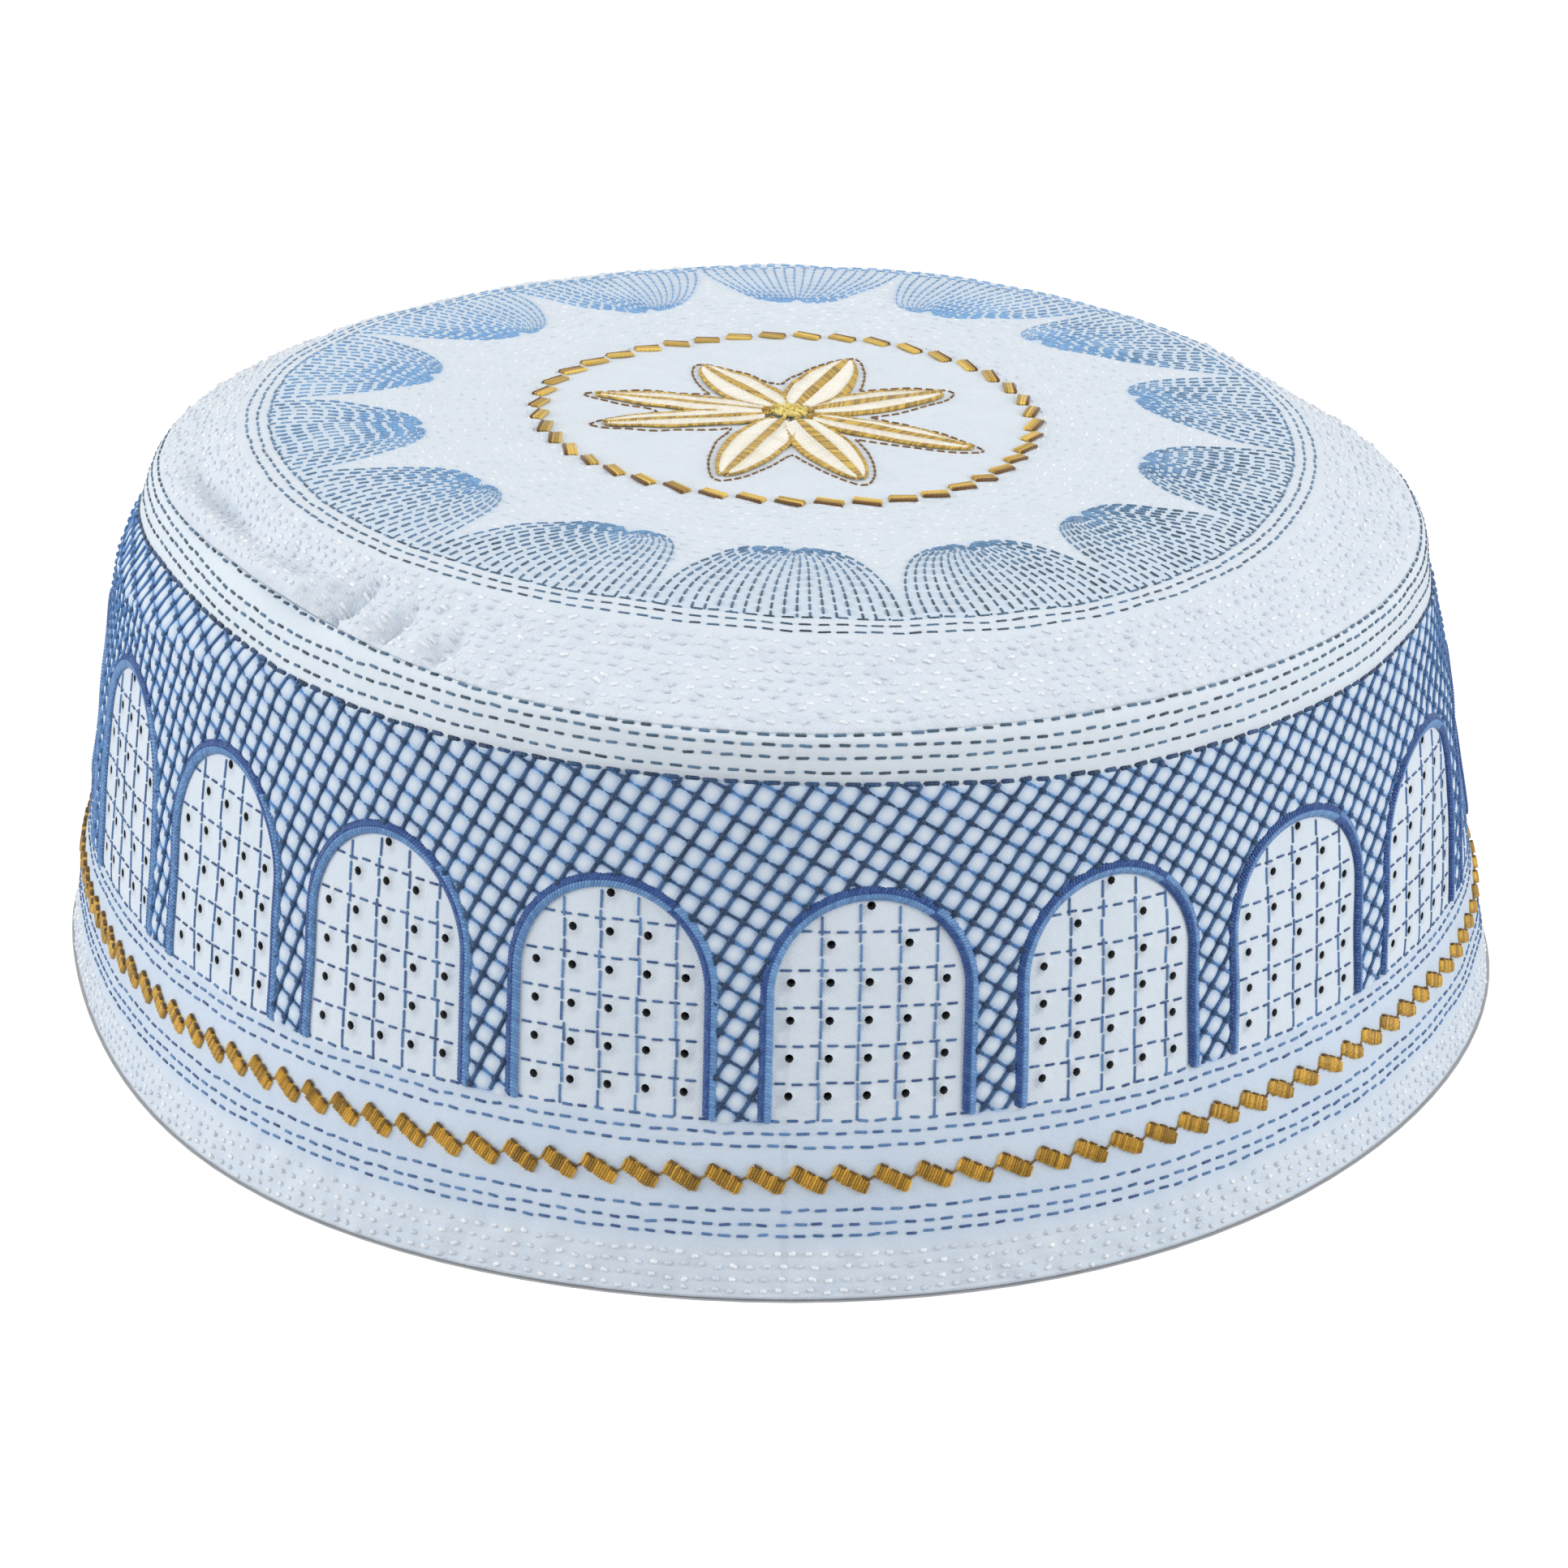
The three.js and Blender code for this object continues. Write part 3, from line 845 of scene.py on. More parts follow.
class KUFI_OT_side_band(bpy.types.Operator):
    """Side band: two faces of cotton on a grid of turn and height, joined at the hem and the seam.
    At each eyelet four quads are left out of both faces, the eight points round them lie on the
    eyelet's circle, and eight quads join the two faces through the wall, coloured dark grey as
    painted shade."""
    bl_idname = "kufi.side_band"
    bl_label = "Side Band"

    def execute(self, context):
        cloth = cloth_of(context)
        pattern = Pattern(cloth, context.scene.kufi_pattern)
        step = pattern.column / CELL_STEPS
        first = pattern.grid_turn + (EYELET_ACROSS - ARCH_COLUMNS / 2) * pattern.column
        columns = int(round(360 / step))
        turns = first + np.arange(columns) * step
        panel = pattern.foot + (EYELET_UP + np.arange(-4, 35) / CELL_STEPS) * pattern.row
        panel_runs = cloth.run_of_height(panel)
        marks = [run for run, _, _ in cloth.pulls]
        low = spaced_runs(marks, 0.0, panel_runs[0], 1.5)
        high = spaced_runs(marks, panel_runs[-1], cloth.seam - cloth.gap / 2, 1.5)
        outer = np.concatenate([low[:-1], panel_runs, high[1:]])
        by_eyelets = panel_runs[(np.arange(len(panel_runs)) - 3) % CELL_STEPS < INNER_STEPS]
        inner = np.concatenate([[0.0, 8.0], by_eyelets, [panel_runs[-1] + 8, outer[-1]]])
        rows, middles = self.holes(pattern.count, columns // pattern.count)
        levels = (len(low) + 3 + rows * CELL_STEPS, 3 + rows * INNER_STEPS)
        faces = [self.with_circles(cloth, *np.meshgrid(turns, runs), level, middles)
                 for runs, level in zip((outer, inner), levels)]
        turn = np.concatenate([faces[0][0], faces[1][0][::-1]])
        run = np.concatenate([faces[0][1], faces[1][1][::-1]])
        height = cloth.height_at(run)
        on_cloth = pattern.turn(turn, height)
        placed = cloth.climb(on_cloth, run)
        steps = pattern.steps(wrapped(turn), height)
        cell = np.abs(np.sin(np.pi * steps[0]) * np.sin(np.pi * steps[1]))
        cell = np.where(pattern.on_lattice(turn, height), cell, 0)
        split = len(outer)
        points = np.concatenate([
            cloth.point(on_cloth[:split], placed[:split], 0.4 * cell[:split] ** 0.7),
            cloth.point(on_cloth[split:], placed[split:], -cloth.wall, plain=True)])
        numbers = np.arange(turn.size).reshape(turn.shape)
        quads = strip_quads(numbers, True)
        gone = np.zeros(quads.shape[:2], bool)
        top, under = levels[0], len(turn) - 1 - levels[1]
        for level in (top - 1, top, under - 1, under):
            gone[level, (middles - 1) % columns] = gone[level, middles] = True
        rims = [np.stack([numbers[level + side * up, (middles + right) % columns]
                          for up, right in AROUND], 1) for level, side in ((top, 1), (under, -1))]
        walls = np.stack([*rims, *(np.roll(rim, -1, 1) for rim in rims[::-1])], -1).reshape(-1, 4)
        quads = np.concatenate([quads[~gone], walls])
        uv = np.stack([on_cloth * np.radians(cloth.rows[3, 0]), run], -1)
        tint = self.tint(pattern, turn, height)
        made = add_mesh("side_band_cloth", points.reshape(-1, 3), quads,
                        np.zeros((0, 3), int), "side",
                        uv.reshape(-1, 2), "tint", tint.ravel(),
                        steps.reshape(2, -1).T)
        # The eyelets' wall quads take the cut cotton, whose dark grey is painted shade
        made.data.materials.append(material("cut"))
        made.data.polygons.foreach_set(
            "material_index", np.arange(len(quads)) >= len(quads) - len(walls))
        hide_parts("side_band")
        return {"FINISHED"}

    @staticmethod
    def with_circles(cloth, turn, run, rows, middles):
        """Moves the eight points round each eyelet's middle on to its circle. rows and middles
        are the mesh row and column of each middle."""
        middle_turn, middle_run = turn[rows, middles], run[rows, middles]
        wide = EYELET_RADIUS / np.radians(cloth.radius_at(middle_run))
        for up, right in AROUND:
            far = np.hypot(up, right)
            place = rows + up, (middles + right) % turn.shape[1]
            turn[place] = middle_turn + wide * right / far
            run[place] = middle_run + EYELET_RADIUS * up / far
        return turn, run

    @staticmethod
    def holes(count, per_arch):
        """Row of eyelets and mesh column of each eyelet's middle, as two arrays."""
        return np.array([
            (row, arch * per_arch + column * CELL_STEPS)
            for arch in range(count)
            for row, columns in enumerate(EYELET_COLUMNS)
            for column in (OPEN_COLUMNS if row == OPEN_ROW and arch in OPEN_ARCHES
                           else columns)]).T

    @staticmethod
    def tint(pattern, turn, height):
        """How blue the cloth looks: most on the lattice's ground, less by the blue rows, and least
        inside the arches and above the lattice. On the lattice's ground it is weaker towards the
        sides and the back, as painted light."""
        low, high = LOW_ROWS[0].height - 0.8, LATTICE_TOP.height
        rows = np.where((height > low) & (height < pattern.foot), 0.26, 0.14)
        rows = np.where(height >= high, 0.04, rows)
        inside = np.where(pattern.inside_arch(turn, height), 0.08, rows)
        # The lattice's ground is less blue towards the sides and the back: painted light
        lattice = 0.8 + 0.2 * np.cos(np.radians(turn))
        return np.where(pattern.on_lattice(turn, height), lattice, inside)


class KUFI_OT_crown(bpy.types.Operator):
    """Crown: the cloth from the seam to the middle on a grid of turn and run, with three mesh
    rows to each quilted row, a plain inner face one wall below, and one point at each pole."""
    bl_idname = "kufi.crown"
    bl_label = "Crown"

    def execute(self, context):
        cloth = cloth_of(context)
        columns = CROWN_COLUMNS
        turns = np.arange(columns) * 360 / columns
        marks = [run for run, _, _ in cloth.pulls]
        last = cloth.end - 0.8
        outer = spaced_runs(marks, cloth.seam + cloth.gap / 2, last, 1.1)
        inner = np.linspace(outer[0], last, 16)
        turn, run = np.meshgrid(turns, np.concatenate([outer, inner[::-1]]))
        upper = len(outer)
        points = np.concatenate([
            cloth.point(turn[:upper], run[:upper]),
            cloth.point(turn[upper:], run[upper:], -cloth.wall, plain=True)]).reshape(-1, 3)
        numbers = np.arange(turn.size).reshape(turn.shape)
        quads = np.concatenate([
            strip_quads(numbers[:upper], False).reshape(-1, 4),
            strip_quads(numbers[upper:], False).reshape(-1, 4),
            strip_quads(numbers[[-1, 0]], False).reshape(-1, 4)])
        poles = np.stack([points[numbers[upper - 1]].mean(0), points[numbers[upper]].mean(0)])
        top, under = len(points), len(points) + 1
        k, n = np.arange(columns), np.roll(np.arange(columns), -1)
        caps = np.concatenate([
            np.stack([numbers[upper - 1][k], numbers[upper - 1][n], np.full(columns, top)], 1),
            np.stack([numbers[upper][n], numbers[upper][k], np.full(columns, under)], 1)])
        points = np.concatenate([points, poles])
        uv = points[:, :2]
        fans = inside_fan(cloth, context.scene.kufi_pattern, turn, run)
        tint = np.concatenate([(0.12 + 0.26 * fans).ravel(), [0.12, 0.12]])
        made = add_mesh("crown_cloth", points, quads, caps, "crown", uv,
                        "tint", tint)
        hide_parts("crown")
        return {"FINISHED"}


def fan_sizes(cloth, settings):
    """Pitch of the fans, run of their base and run of their tips."""
    pitch = 360 / len(FANS)
    base = crown_ring_runs(cloth)[2]
    tip = float(cloth.run_of_radius(settings.fan_tip * cloth.hem))
    return pitch, base, tip


def inside_fan(cloth, settings, turn, run):
    """1 inside the scallop fans of the crown and 0 outside them."""
    pitch, base, tip = fan_sizes(cloth, settings)
    up = (run - base) / (tip - base)
    number = np.floor((turn - settings.fan_turn) / pitch + 0.5).astype(int) % len(FANS)
    lean = np.array([fan.lean for fan in FANS])[number] * np.maximum(up, 0) ** 2
    away = (turn - settings.fan_turn + pitch / 2) % pitch - pitch / 2 - lean
    power = 2 / np.array([fan.round for fan in FANS])[number]
    reach = np.abs(2 * away / pitch) ** power + np.maximum(up, 0) ** power
    return ((up > -0.02) & (reach < 1.05)).astype(float)


class KUFI_OT_blue_rows(bpy.types.Operator):
    """Running stitch round the side band: a ring of dashes at each row's height, blue at the
    hem and dark slate under the crown."""
    bl_idname = "kufi.blue_rows"
    bl_label = "Blue Rows"

    def execute(self, context):
        cloth = cloth_of(context)
        settings = context.scene.kufi_pattern
        wide = settings.thread_width / MM / 2
        for name, rows, key, tone, share in (
                ("blue_rows", LOW_ROWS, "blue", (0.1, 0.75), 0.95),
                ("roll_rows", ROLL_ROWS, "slate", (0.0, 0.4), 1.0)):
            parts = [dash_row(cloth, float(cloth.run_of_height(row.height)), row.dash, row.gap,
                              0.06, wide * share, wide * 0.8, tone) for row in rows]
            add_stitches(name, parts, key)
        return {"FINISHED"}


class KUFI_OT_white_quilting(bpy.types.Operator):
    """White quilting: rows of short stitches round the hem, the crown's sloping band and the
    level crown, left out inside the fans."""
    bl_idname = "kufi.white_quilting"
    bl_label = "White Quilting"

    def execute(self, context):
        cloth = cloth_of(context)
        settings = context.scene.kufi_pattern
        wide = settings.thread_width / MM / 2
        hem = [dash_row(cloth, float(cloth.run_of_height(row.height)), row.dash, row.gap,
                        0.1, wide * 1.5, wide * 1.2, (0, 1), wobble=0.14) for row in WHITE_ROWS]
        add_stitches("hem_quilting", hem, "white")
        band = [dash_row(cloth, run, 1.0, 0.9, 0.08, wide * 1.3, wide, (0, 1), wobble=0.2)
                for run in band_runs(cloth)]

        def outside(turn, run):
            return inside_fan(cloth, settings, turn, run) == 0

        field = [dash_row(cloth, run, 1.0, 1.0, 0.0, wide, wide * 0.8, (0, 1), keep=outside,
                          wobble=0.1) for run in field_runs(cloth)]
        add_stitches("crown_quilting", band + field, "white")
        return {"FINISHED"}


class KUFI_OT_lattice(bpy.types.Operator):
    """Lattice: two families of threads, straight on the flat strip and cut off at the arches'
    cords. One stitch runs between each two crossings, a knot sits on each in the thread's darkest
    tones, which are painted shade where the threads cross, and a row of long stitches closes the
    lattice above."""
    bl_idname = "kufi.lattice"
    bl_label = "Lattice"

    def execute(self, context):
        cloth = cloth_of(context)
        settings = context.scene.kufi_pattern
        pattern = Pattern(cloth, settings)
        low, high = pattern.foot, LATTICE_TOP.height
        turn, height = np.meshgrid(np.linspace(-180, 180, 91), [low, high])
        steps = pattern.steps(turn, height).reshape(2, -1)
        along, across = (a.ravel() for a in np.meshgrid(*(
            np.arange(np.floor(a) - 1, np.ceil(b) + 2)
            for a, b in zip(steps.min(1), steps.max(1)))))
        here = np.array(pattern.crossing(along, across))
        width = settings.lattice_width / MM / 2
        parts = []
        for step, share, tone, lift in (((1, 0), 1.0, (0.0, 0.35), 0.22),
                                        ((0, 1), 0.75, (0.1, 0.9), 0.16)):
            there = np.array(pattern.crossing(along + step[0], across + step[1]))
            inside = [pattern.on_strip(*end) for end in (here, there)]
            some = (inside[0] | inside[1]) & (np.abs(here[0] - there[0]) < 20)
            a, b = here[:, some], there[:, some]
            a, b = (np.where(inside[0][some], a, self.clipped(pattern, b, a)),
                    np.where(inside[1][some], b, self.clipped(pattern, a, b)))
            # The threads' tone pales towards the sides and the back as painted light
            parts.append((pattern.point(*a, lift), pattern.point(*b, lift),
                          pattern.normal(*(a + b) / 2), width * share, width * 0.8,
                          tones(a.shape[1], *tone) + self.pale(a[0], 0.8)))
        inner = pattern.on_strip(*here) & (here[1] > low + 0.3) & (here[1] < high - 0.3)
        along, across = along[inner], across[inner]
        # A knot on each crossing: its darkest tones are painted shade where the threads cross, and
        # it pales towards the sides as painted light
        parts.append((pattern.point(*pattern.crossing(along - 0.22, across), 0.34),
                      pattern.point(*pattern.crossing(along + 0.22, across), 0.34),
                      pattern.normal(*here[:, inner]), 0.46, 0.3,
                      tones(len(along), 0.0, 0.08) + self.pale(here[0, inner], 0.6)))
        parts.append(dash_row(cloth, float(cloth.run_of_height(high)), LATTICE_TOP.dash,
                              LATTICE_TOP.gap, 0.12, width * 1.15, width, (0.0, 0.25)))
        add_stitches("lattice", parts, "navy")
        return {"FINISHED"}

    @staticmethod
    def pale(turn, most):
        """Painted light: a lighter tone towards the sides and the back, most times one less the
        turn's cosine.
        """
        return most * (1 - np.cos(np.radians(turn)))

    @staticmethod
    def clipped(pattern, start, stop):
        """The last place from start towards stop that is still on the lattice's ground."""
        near, far = np.zeros(start.shape[1]), np.ones(start.shape[1])
        for _ in range(7):
            middle = (near + far) / 2
            on = pattern.on_strip(*(start + (stop - start) * middle))
            near, far = np.where(on, middle, near), np.where(on, far, middle)
        return start + (stop - start) * near


class KUFI_OT_arches(bpy.types.Operator):
    """Arches: satin cords across a path up each leg and round the head, in two halves that are
    dark towards the upper left and light towards the lower right, as painted shade and painted
    light of the raised cord, and a grid of fine running stitch inside."""
    bl_idname = "kufi.arches"
    bl_label = "Arches"

    def execute(self, context):
        cloth = cloth_of(context)
        settings = context.scene.kufi_pattern
        pattern = Pattern(cloth, settings)
        scale = float(pattern.degrees_per_mm(pattern.spring))
        parts = [self.cord(pattern, settings, arch, scale) for arch in range(pattern.count)]
        parts = [half for pair in parts for half in pair]
        add_stitches("arch_cords", parts, "cord")
        grids = [self.grid(pattern, settings, arch) for arch in range(pattern.count)]
        grids = [line for pair in grids for line in pair]
        add_stitches("arch_grids", grids, "blue")
        return {"FINISHED"}

    @staticmethod
    def cord(pattern, settings, arch, scale):
        """Satin stitches of one arch as two halves that meet on the path. The half towards the
        upper left takes dark tones as painted shade, the other light tones as painted light.
        """
        middle = pattern.arch_turn + arch * pattern.pitch
        leg, radius = pattern.spring - pattern.foot, pattern.half / scale
        head = np.pi / 2 * (radius + pattern.head)
        total = 2 * leg + head
        run = np.arange(0.1, total, settings.satin_pitch / MM)
        around = np.clip((run - leg) / head, 0, 1) * np.pi
        flat = np.where(run < leg, -radius, np.where(run > leg + head, radius,
                                                     -radius * np.cos(around)))
        height = pattern.foot + np.where(run < leg, run, np.where(
            run > leg + head, total - run, leg + pattern.head * np.sin(around)))
        out = unit(np.stack([-np.cos(around), np.sin(around)], 1))
        along = np.stack([out[:, 1], -out[:, 0]], 1)
        slant = unit(out + 0.7 * along)
        width = settings.cord_width / MM / 2
        halves = []
        for side in (1, -1):
            edge = np.stack([flat, height], 1) + side * width * slant
            inner = np.stack([flat, height], 1) - side * 0.12 * slant
            # dark picks the half towards the upper left, which gets dark tones as painted shade;
            # the other half gets light tones as painted light
            dark = side * (out[:, 0] * -0.8 + out[:, 1] * 0.6) > 0
            tone = np.where(dark, tones(len(run), 0.0, 0.12), tones(len(run), 0.45, 0.75))
            edge_turn, inner_turn = middle + edge[:, 0] * scale, middle + inner[:, 0] * scale
            halves.append((pattern.point(inner_turn, inner[:, 1], 0.62),
                           pattern.point(edge_turn, np.maximum(edge[:, 1], pattern.foot), 0.1),
                           pattern.normal(edge_turn, edge[:, 1]), 0.27, 0.2, tone))
        return halves

    @staticmethod
    def grid(pattern, settings, arch):
        """Upright lines of long stitches and level lines of dashes inside one arch."""
        middle = pattern.grid_turn + arch * pattern.pitch
        arch_middle = pattern.arch_turn + arch * pattern.pitch
        wide = settings.grid_width / MM / 2
        parts = []
        for line in range(1, ARCH_COLUMNS):
            turn = middle + (line - ARCH_COLUMNS / 2) * pattern.column
            share = min(abs(turn - arch_middle) / pattern.half, 1)
            top = pattern.spring + pattern.head * np.sqrt(1 - share ** 2) - 0.9
            count = int((top - pattern.foot) / 1.95)
            low = pattern.foot + np.arange(count) * (top - pattern.foot) / count
            high = low + (top - pattern.foot) / count * 0.96
            sway = np.full(count, turn) + RNG.normal(0, 0.05, count)
            parts.append((pattern.point(sway, low, 0.08), pattern.point(sway, high, 0.08),
                          pattern.normal(sway, low), wide, wide * 0.8, tones(count, 0.35, 0.9)))
        for level in range(1, ARCH_COLUMNS + 1):
            height = pattern.foot + level * pattern.row
            half = float(pattern.half_at(height)) - 0.6
            pitch = 1.75 * pattern.degrees_per_mm(height)
            count = int(2 * half / pitch)
            start = arch_middle - half + np.arange(count) * 2 * half / count
            stop = start + 2 * half / count * 0.7
            sway = np.full(count, height) + RNG.normal(0, 0.05, count)
            parts.append((pattern.point(start, sway, 0.07), pattern.point(stop, sway, 0.07),
                          pattern.normal(start, sway), wide, wide * 0.8, tones(count, 0.0, 0.4)))
        return parts


class KUFI_OT_chain(bpy.types.Operator):
    """Gold chain: slanting bars round the side band, each of satin stitches across its length,
    with a dark broken thread along its upper edge and a thin link to the next bar."""
    bl_idname = "kufi.chain"
    bl_label = "Gold Chain"

    def execute(self, context):
        cloth = cloth_of(context)
        settings = context.scene.kufi_pattern
        count = settings.chain_count
        run = float(cloth.run_of_height(settings.chain_height / MM))
        scale = 1 / np.radians(float(cloth.radius_at(run)))
        tilt = np.radians(settings.chain_tilt)
        length, width, threads, lean = CHAIN_BAR
        lean = np.radians(lean)
        lengthways = np.array([np.cos(tilt), -np.sin(tilt)])
        across = np.array([np.sin(lean), np.cos(lean)])

        def part(start, stop, lift, wide, high, low, light):
            """Threads of every bar from start to stop, in millimetres from the bar's middle."""
            turn = np.repeat(np.arange(count) * 360 / count + CHAIN_START, len(start))
            start, stop = (np.tile(end, (count, 1)) for end in (start, stop))
            shake = RNG.normal(0, 0.05, (len(turn), 1)) * across
            start, stop = start + shake, stop + shake
            return (cloth.point(turn + start[:, 0] * scale, run + start[:, 1], lift),
                    cloth.point(turn + stop[:, 0] * scale, run + stop[:, 1], lift),
                    cloth.normal(turn, np.full(len(turn), run)), wide, high,
                    tones(len(turn), low, light))

        shares = ((np.arange(threads) + 0.5) / threads - 0.5)[:, None]
        axis = shares * length * lengthways
        half = width / 2 * across * (1 - 5 * shares ** 4)
        edge = np.array([[-0.46], [-0.13], [0.2]]) * length * lengthways + 0.46 * width * across
        link = np.array([[length / 2 * np.cos(tilt) - 0.2, -0.35]])
        parts = [part(axis - half, axis + half, 0.1, 0.21, 0.42, 0.3, 1.0),
                 part(edge, edge + 0.25 * length * lengthways, 0.3, 0.15, 0.24, 0.0, 0.1),
                 part(link, link + np.array([[1.4, 0.95]]), 0.1, 0.14, 0.12, 0.1, 0.5)]
        add_stitches("gold_chain", parts, "chain")
        return {"FINISHED"}


class KUFI_OT_fans(bpy.types.Operator):
    """Crown fans: three rings of dashes, and on the inner one fourteen scallops. Each line of a
    scallop is a quarter of a rounded ellipse from the ring to the tip, sewn in dashes."""
    bl_idname = "kufi.fans"
    bl_label = "Crown Fans"

    def execute(self, context):
        cloth = cloth_of(context)
        settings = context.scene.kufi_pattern
        wide = settings.thread_width / MM / 2 * 0.9
        parts = []
        for run in crown_ring_runs(cloth):
            *dashes, tone = dash_row(cloth, run, 1.4, 0.6, 0.05, wide, wide * 0.8, (0.0, 0.35))
            # back lightens the rings' dashes towards the back of the crown: painted light
            back = 0.5 + 0.5 * dashes[0][:, 1] / cloth.radius_at(run)
            parts.append((*dashes, np.clip(tone + 0.8 * back ** 1.5, 0, 1)))
        parts += self.fans(cloth, settings, wide)
        add_stitches("crown_fans", parts, "slate")
        return {"FINISHED"}

    @classmethod
    def fans(cls, cloth, settings, wide):
        pitch, base, tip = fan_sizes(cloth, settings)
        share = ((np.arange(settings.fan_lines) + 0.5) / settings.fan_lines * 2 - 1)[:, None]
        theta = np.linspace(0, np.pi / 2, 70)[None]
        parts = []
        for number, fan in enumerate(FANS):
            middle = settings.fan_turn + number * pitch
            up = np.sin(theta) ** fan.round
            offset = share * (pitch / 2 * np.cos(theta) ** fan.round + FAN_TIP_HALF * up ** 4)
            run = base + (tip - base) * up * (0.93 + 0.07 * np.abs(share))
            turn = middle + offset + fan.lean * up ** 2
            starts, stops, shares = cls.dashes(cloth, turn, run, 1.45, 0.5)
            # side lightens the fans' threads away from the front right: painted light
            side = (1 - np.cos(np.radians(middle - 25))) / 2
            tone = tones(len(starts), 0.0, 0.3) + 0.75 * side + 0.6 * shares ** 2
            thin = 1 - 0.25 * side
            parts.append((cloth.point(*starts.T, 0.06), cloth.point(*stops.T, 0.06),
                          cloth.normal(*starts.T), thin * wide * (1 - 0.3 * shares),
                          wide * 0.8, np.clip(tone, 0, 1)))
        return parts

    @staticmethod
    def dashes(cloth, turn, run, dash, gap):
        """Starts and ends of the dashes on each line, and their shares of its length."""
        run = np.broadcast_to(run, turn.shape)
        across = np.radians(np.diff(turn, axis=1)) * cloth.radius_at(run[:, 1:])
        steps = np.hypot(across, np.diff(run, axis=1))
        far = np.concatenate([np.zeros((len(turn), 1)), np.cumsum(steps, 1)], 1)
        starts, stops, shares = [], [], []
        for line in range(len(turn)):
            total = far[line, -1]
            at = np.arange(RNG.uniform(-1, 0) * dash, total, dash + gap)
            for distance, kept in ((at, starts), (at + dash, stops)):
                kept.append(np.stack([np.interp(distance, far[line], turn[line]),
                                      np.interp(distance, far[line], run[line])], 1))
            shares.append(np.clip(at / total, 0, 1))
        return np.concatenate(starts), np.concatenate(stops), np.concatenate(shares)


class KUFI_OT_medallion(bpy.types.Operator):
    """Gold medallion: a ring of slanting bars, and a flower of eight petals. A petal's half
    width is a sine of its length, its ribs are satin, its ground padded cream satin, and a
    dashed contour runs outside it."""
    bl_idname = "kufi.medallion"
    bl_label = "Gold Medallion"

    def execute(self, context):
        cloth = cloth_of(context)
        settings = context.scene.kufi_pattern
        gold = [self.ring(cloth, settings)]
        cream = []
        for petal in PETALS:
            gold += self.ribs(cloth, petal)
            cream += self.ground(cloth, petal)
        gold.append(self.contour(cloth))
        add_stitches("gold_medallion", gold, "gold")
        add_stitches("petal_satin", cream, "cream")
        add_stitches("flower_knot", [self.knot(cloth)], "yellow")
        return {"FINISHED"}

    @staticmethod
    def place(cloth, flat, lift):
        """Points of the crown at flat x and y millimetres from its middle, and a lift."""
        radius = np.hypot(flat[:, 0], flat[:, 1])
        turn = np.degrees(np.arctan2(flat[:, 1], flat[:, 0])) + 90
        run = cloth.end - radius
        return cloth.point(turn, run, lift), cloth.normal(turn, np.minimum(run, cloth.end - 1))

    @classmethod
    def part(cls, cloth, start, stop, lifts, wide, tone):
        a, normal = cls.place(cloth, start, lifts[0])
        b, _ = cls.place(cloth, stop, lifts[1])
        return a, b, normal, wide, wide * 0.9, tone

    @classmethod
    def ring(cls, cloth, settings):
        """Gold bars side by side with the ring, each of threads of which the outer is dark."""
        count, threads = settings.ring_count, RING_BAR.threads
        radius = float(cloth.rows[GOLD_ROW, 0]) + 0.7
        bars = np.radians(np.arange(count) * 360 / count - 90)
        shares = (np.arange(threads) + 0.5) / threads - 0.5
        bars, offset = (a.ravel() for a in np.meshgrid(
            bars, shares * RING_BAR.width, indexing="ij"))
        out = np.stack([np.cos(bars), np.sin(bars)], 1)
        level = np.stack([-out[:, 1], out[:, 0]], 1)
        slant = np.radians(RING_BAR.lean)
        along = level * np.cos(slant) + out * np.sin(slant)
        side = out * np.cos(slant) - level * np.sin(slant)
        middle = out * radius + side * offset[:, None]
        reach = along * RING_BAR.length / 2
        tone = np.where(offset > RING_BAR.width / 3, 0.0, tones(len(bars), 0.35, 1))
        return cls.part(cloth, middle - reach, middle + reach, (0.2, 0.2), 0.25, tone)

    @staticmethod
    def axes(turn):
        angle = np.radians(turn - 90)
        return np.array([np.cos(angle), np.sin(angle)]), np.array([-np.sin(angle), np.cos(angle)])

    @staticmethod
    def half_width(petal, share):
        return petal.half * np.sin(np.pi * np.clip(share, 0, 1) ** 0.85) ** 0.6

    @classmethod
    def ribs(cls, cloth, petal):
        """Gold satin along the middle and both edges of a petal."""
        out, side = cls.axes(petal.turn)
        share = np.arange(0.04, 0.99, 0.34 / petal.length)
        far = (PETAL_START + share * (petal.length - PETAL_START))[:, None]
        half = cls.half_width(petal, share)
        fat = np.sin(np.pi * share) ** 0.5
        lean = unit(out * 0.7 + side)
        parts = []
        for across, width, lift in ((0.0, 0.85 * fat + 0.15, 0.6), (1.0, 0.32 * fat + 0.1, 0.35),
                                    (-1.0, 0.45 * fat + 0.1, 0.42)):
            middle = far * out + (across * half)[:, None] * side
            reach = width[:, None] * lean
            parts.append(cls.part(cloth, middle - reach, middle + reach, (lift * 0.45, lift),
                                  0.2, tones(len(share), 0.25, 0.9)))
        return parts

    @classmethod
    def ground(cls, cloth, petal):
        """Cream satin from the middle rib to each edge."""
        out, side = cls.axes(petal.turn)
        share = np.arange(0.1, 0.97, 0.36 / petal.length)
        far = (PETAL_START + share * (petal.length - PETAL_START))[:, None]
        half = cls.half_width(petal, share)[:, None]
        parts = []
        for across in (1, -1):
            start = far * out + across * 0.15 * half * side - 0.25 * half * out
            stop = far * out + across * 0.95 * half * side + 0.1 * half * out
            parts.append(cls.part(cloth, start, stop, (0.42, 0.2), 0.26,
                                  tones(len(share), 0.5, 1)))
        return parts

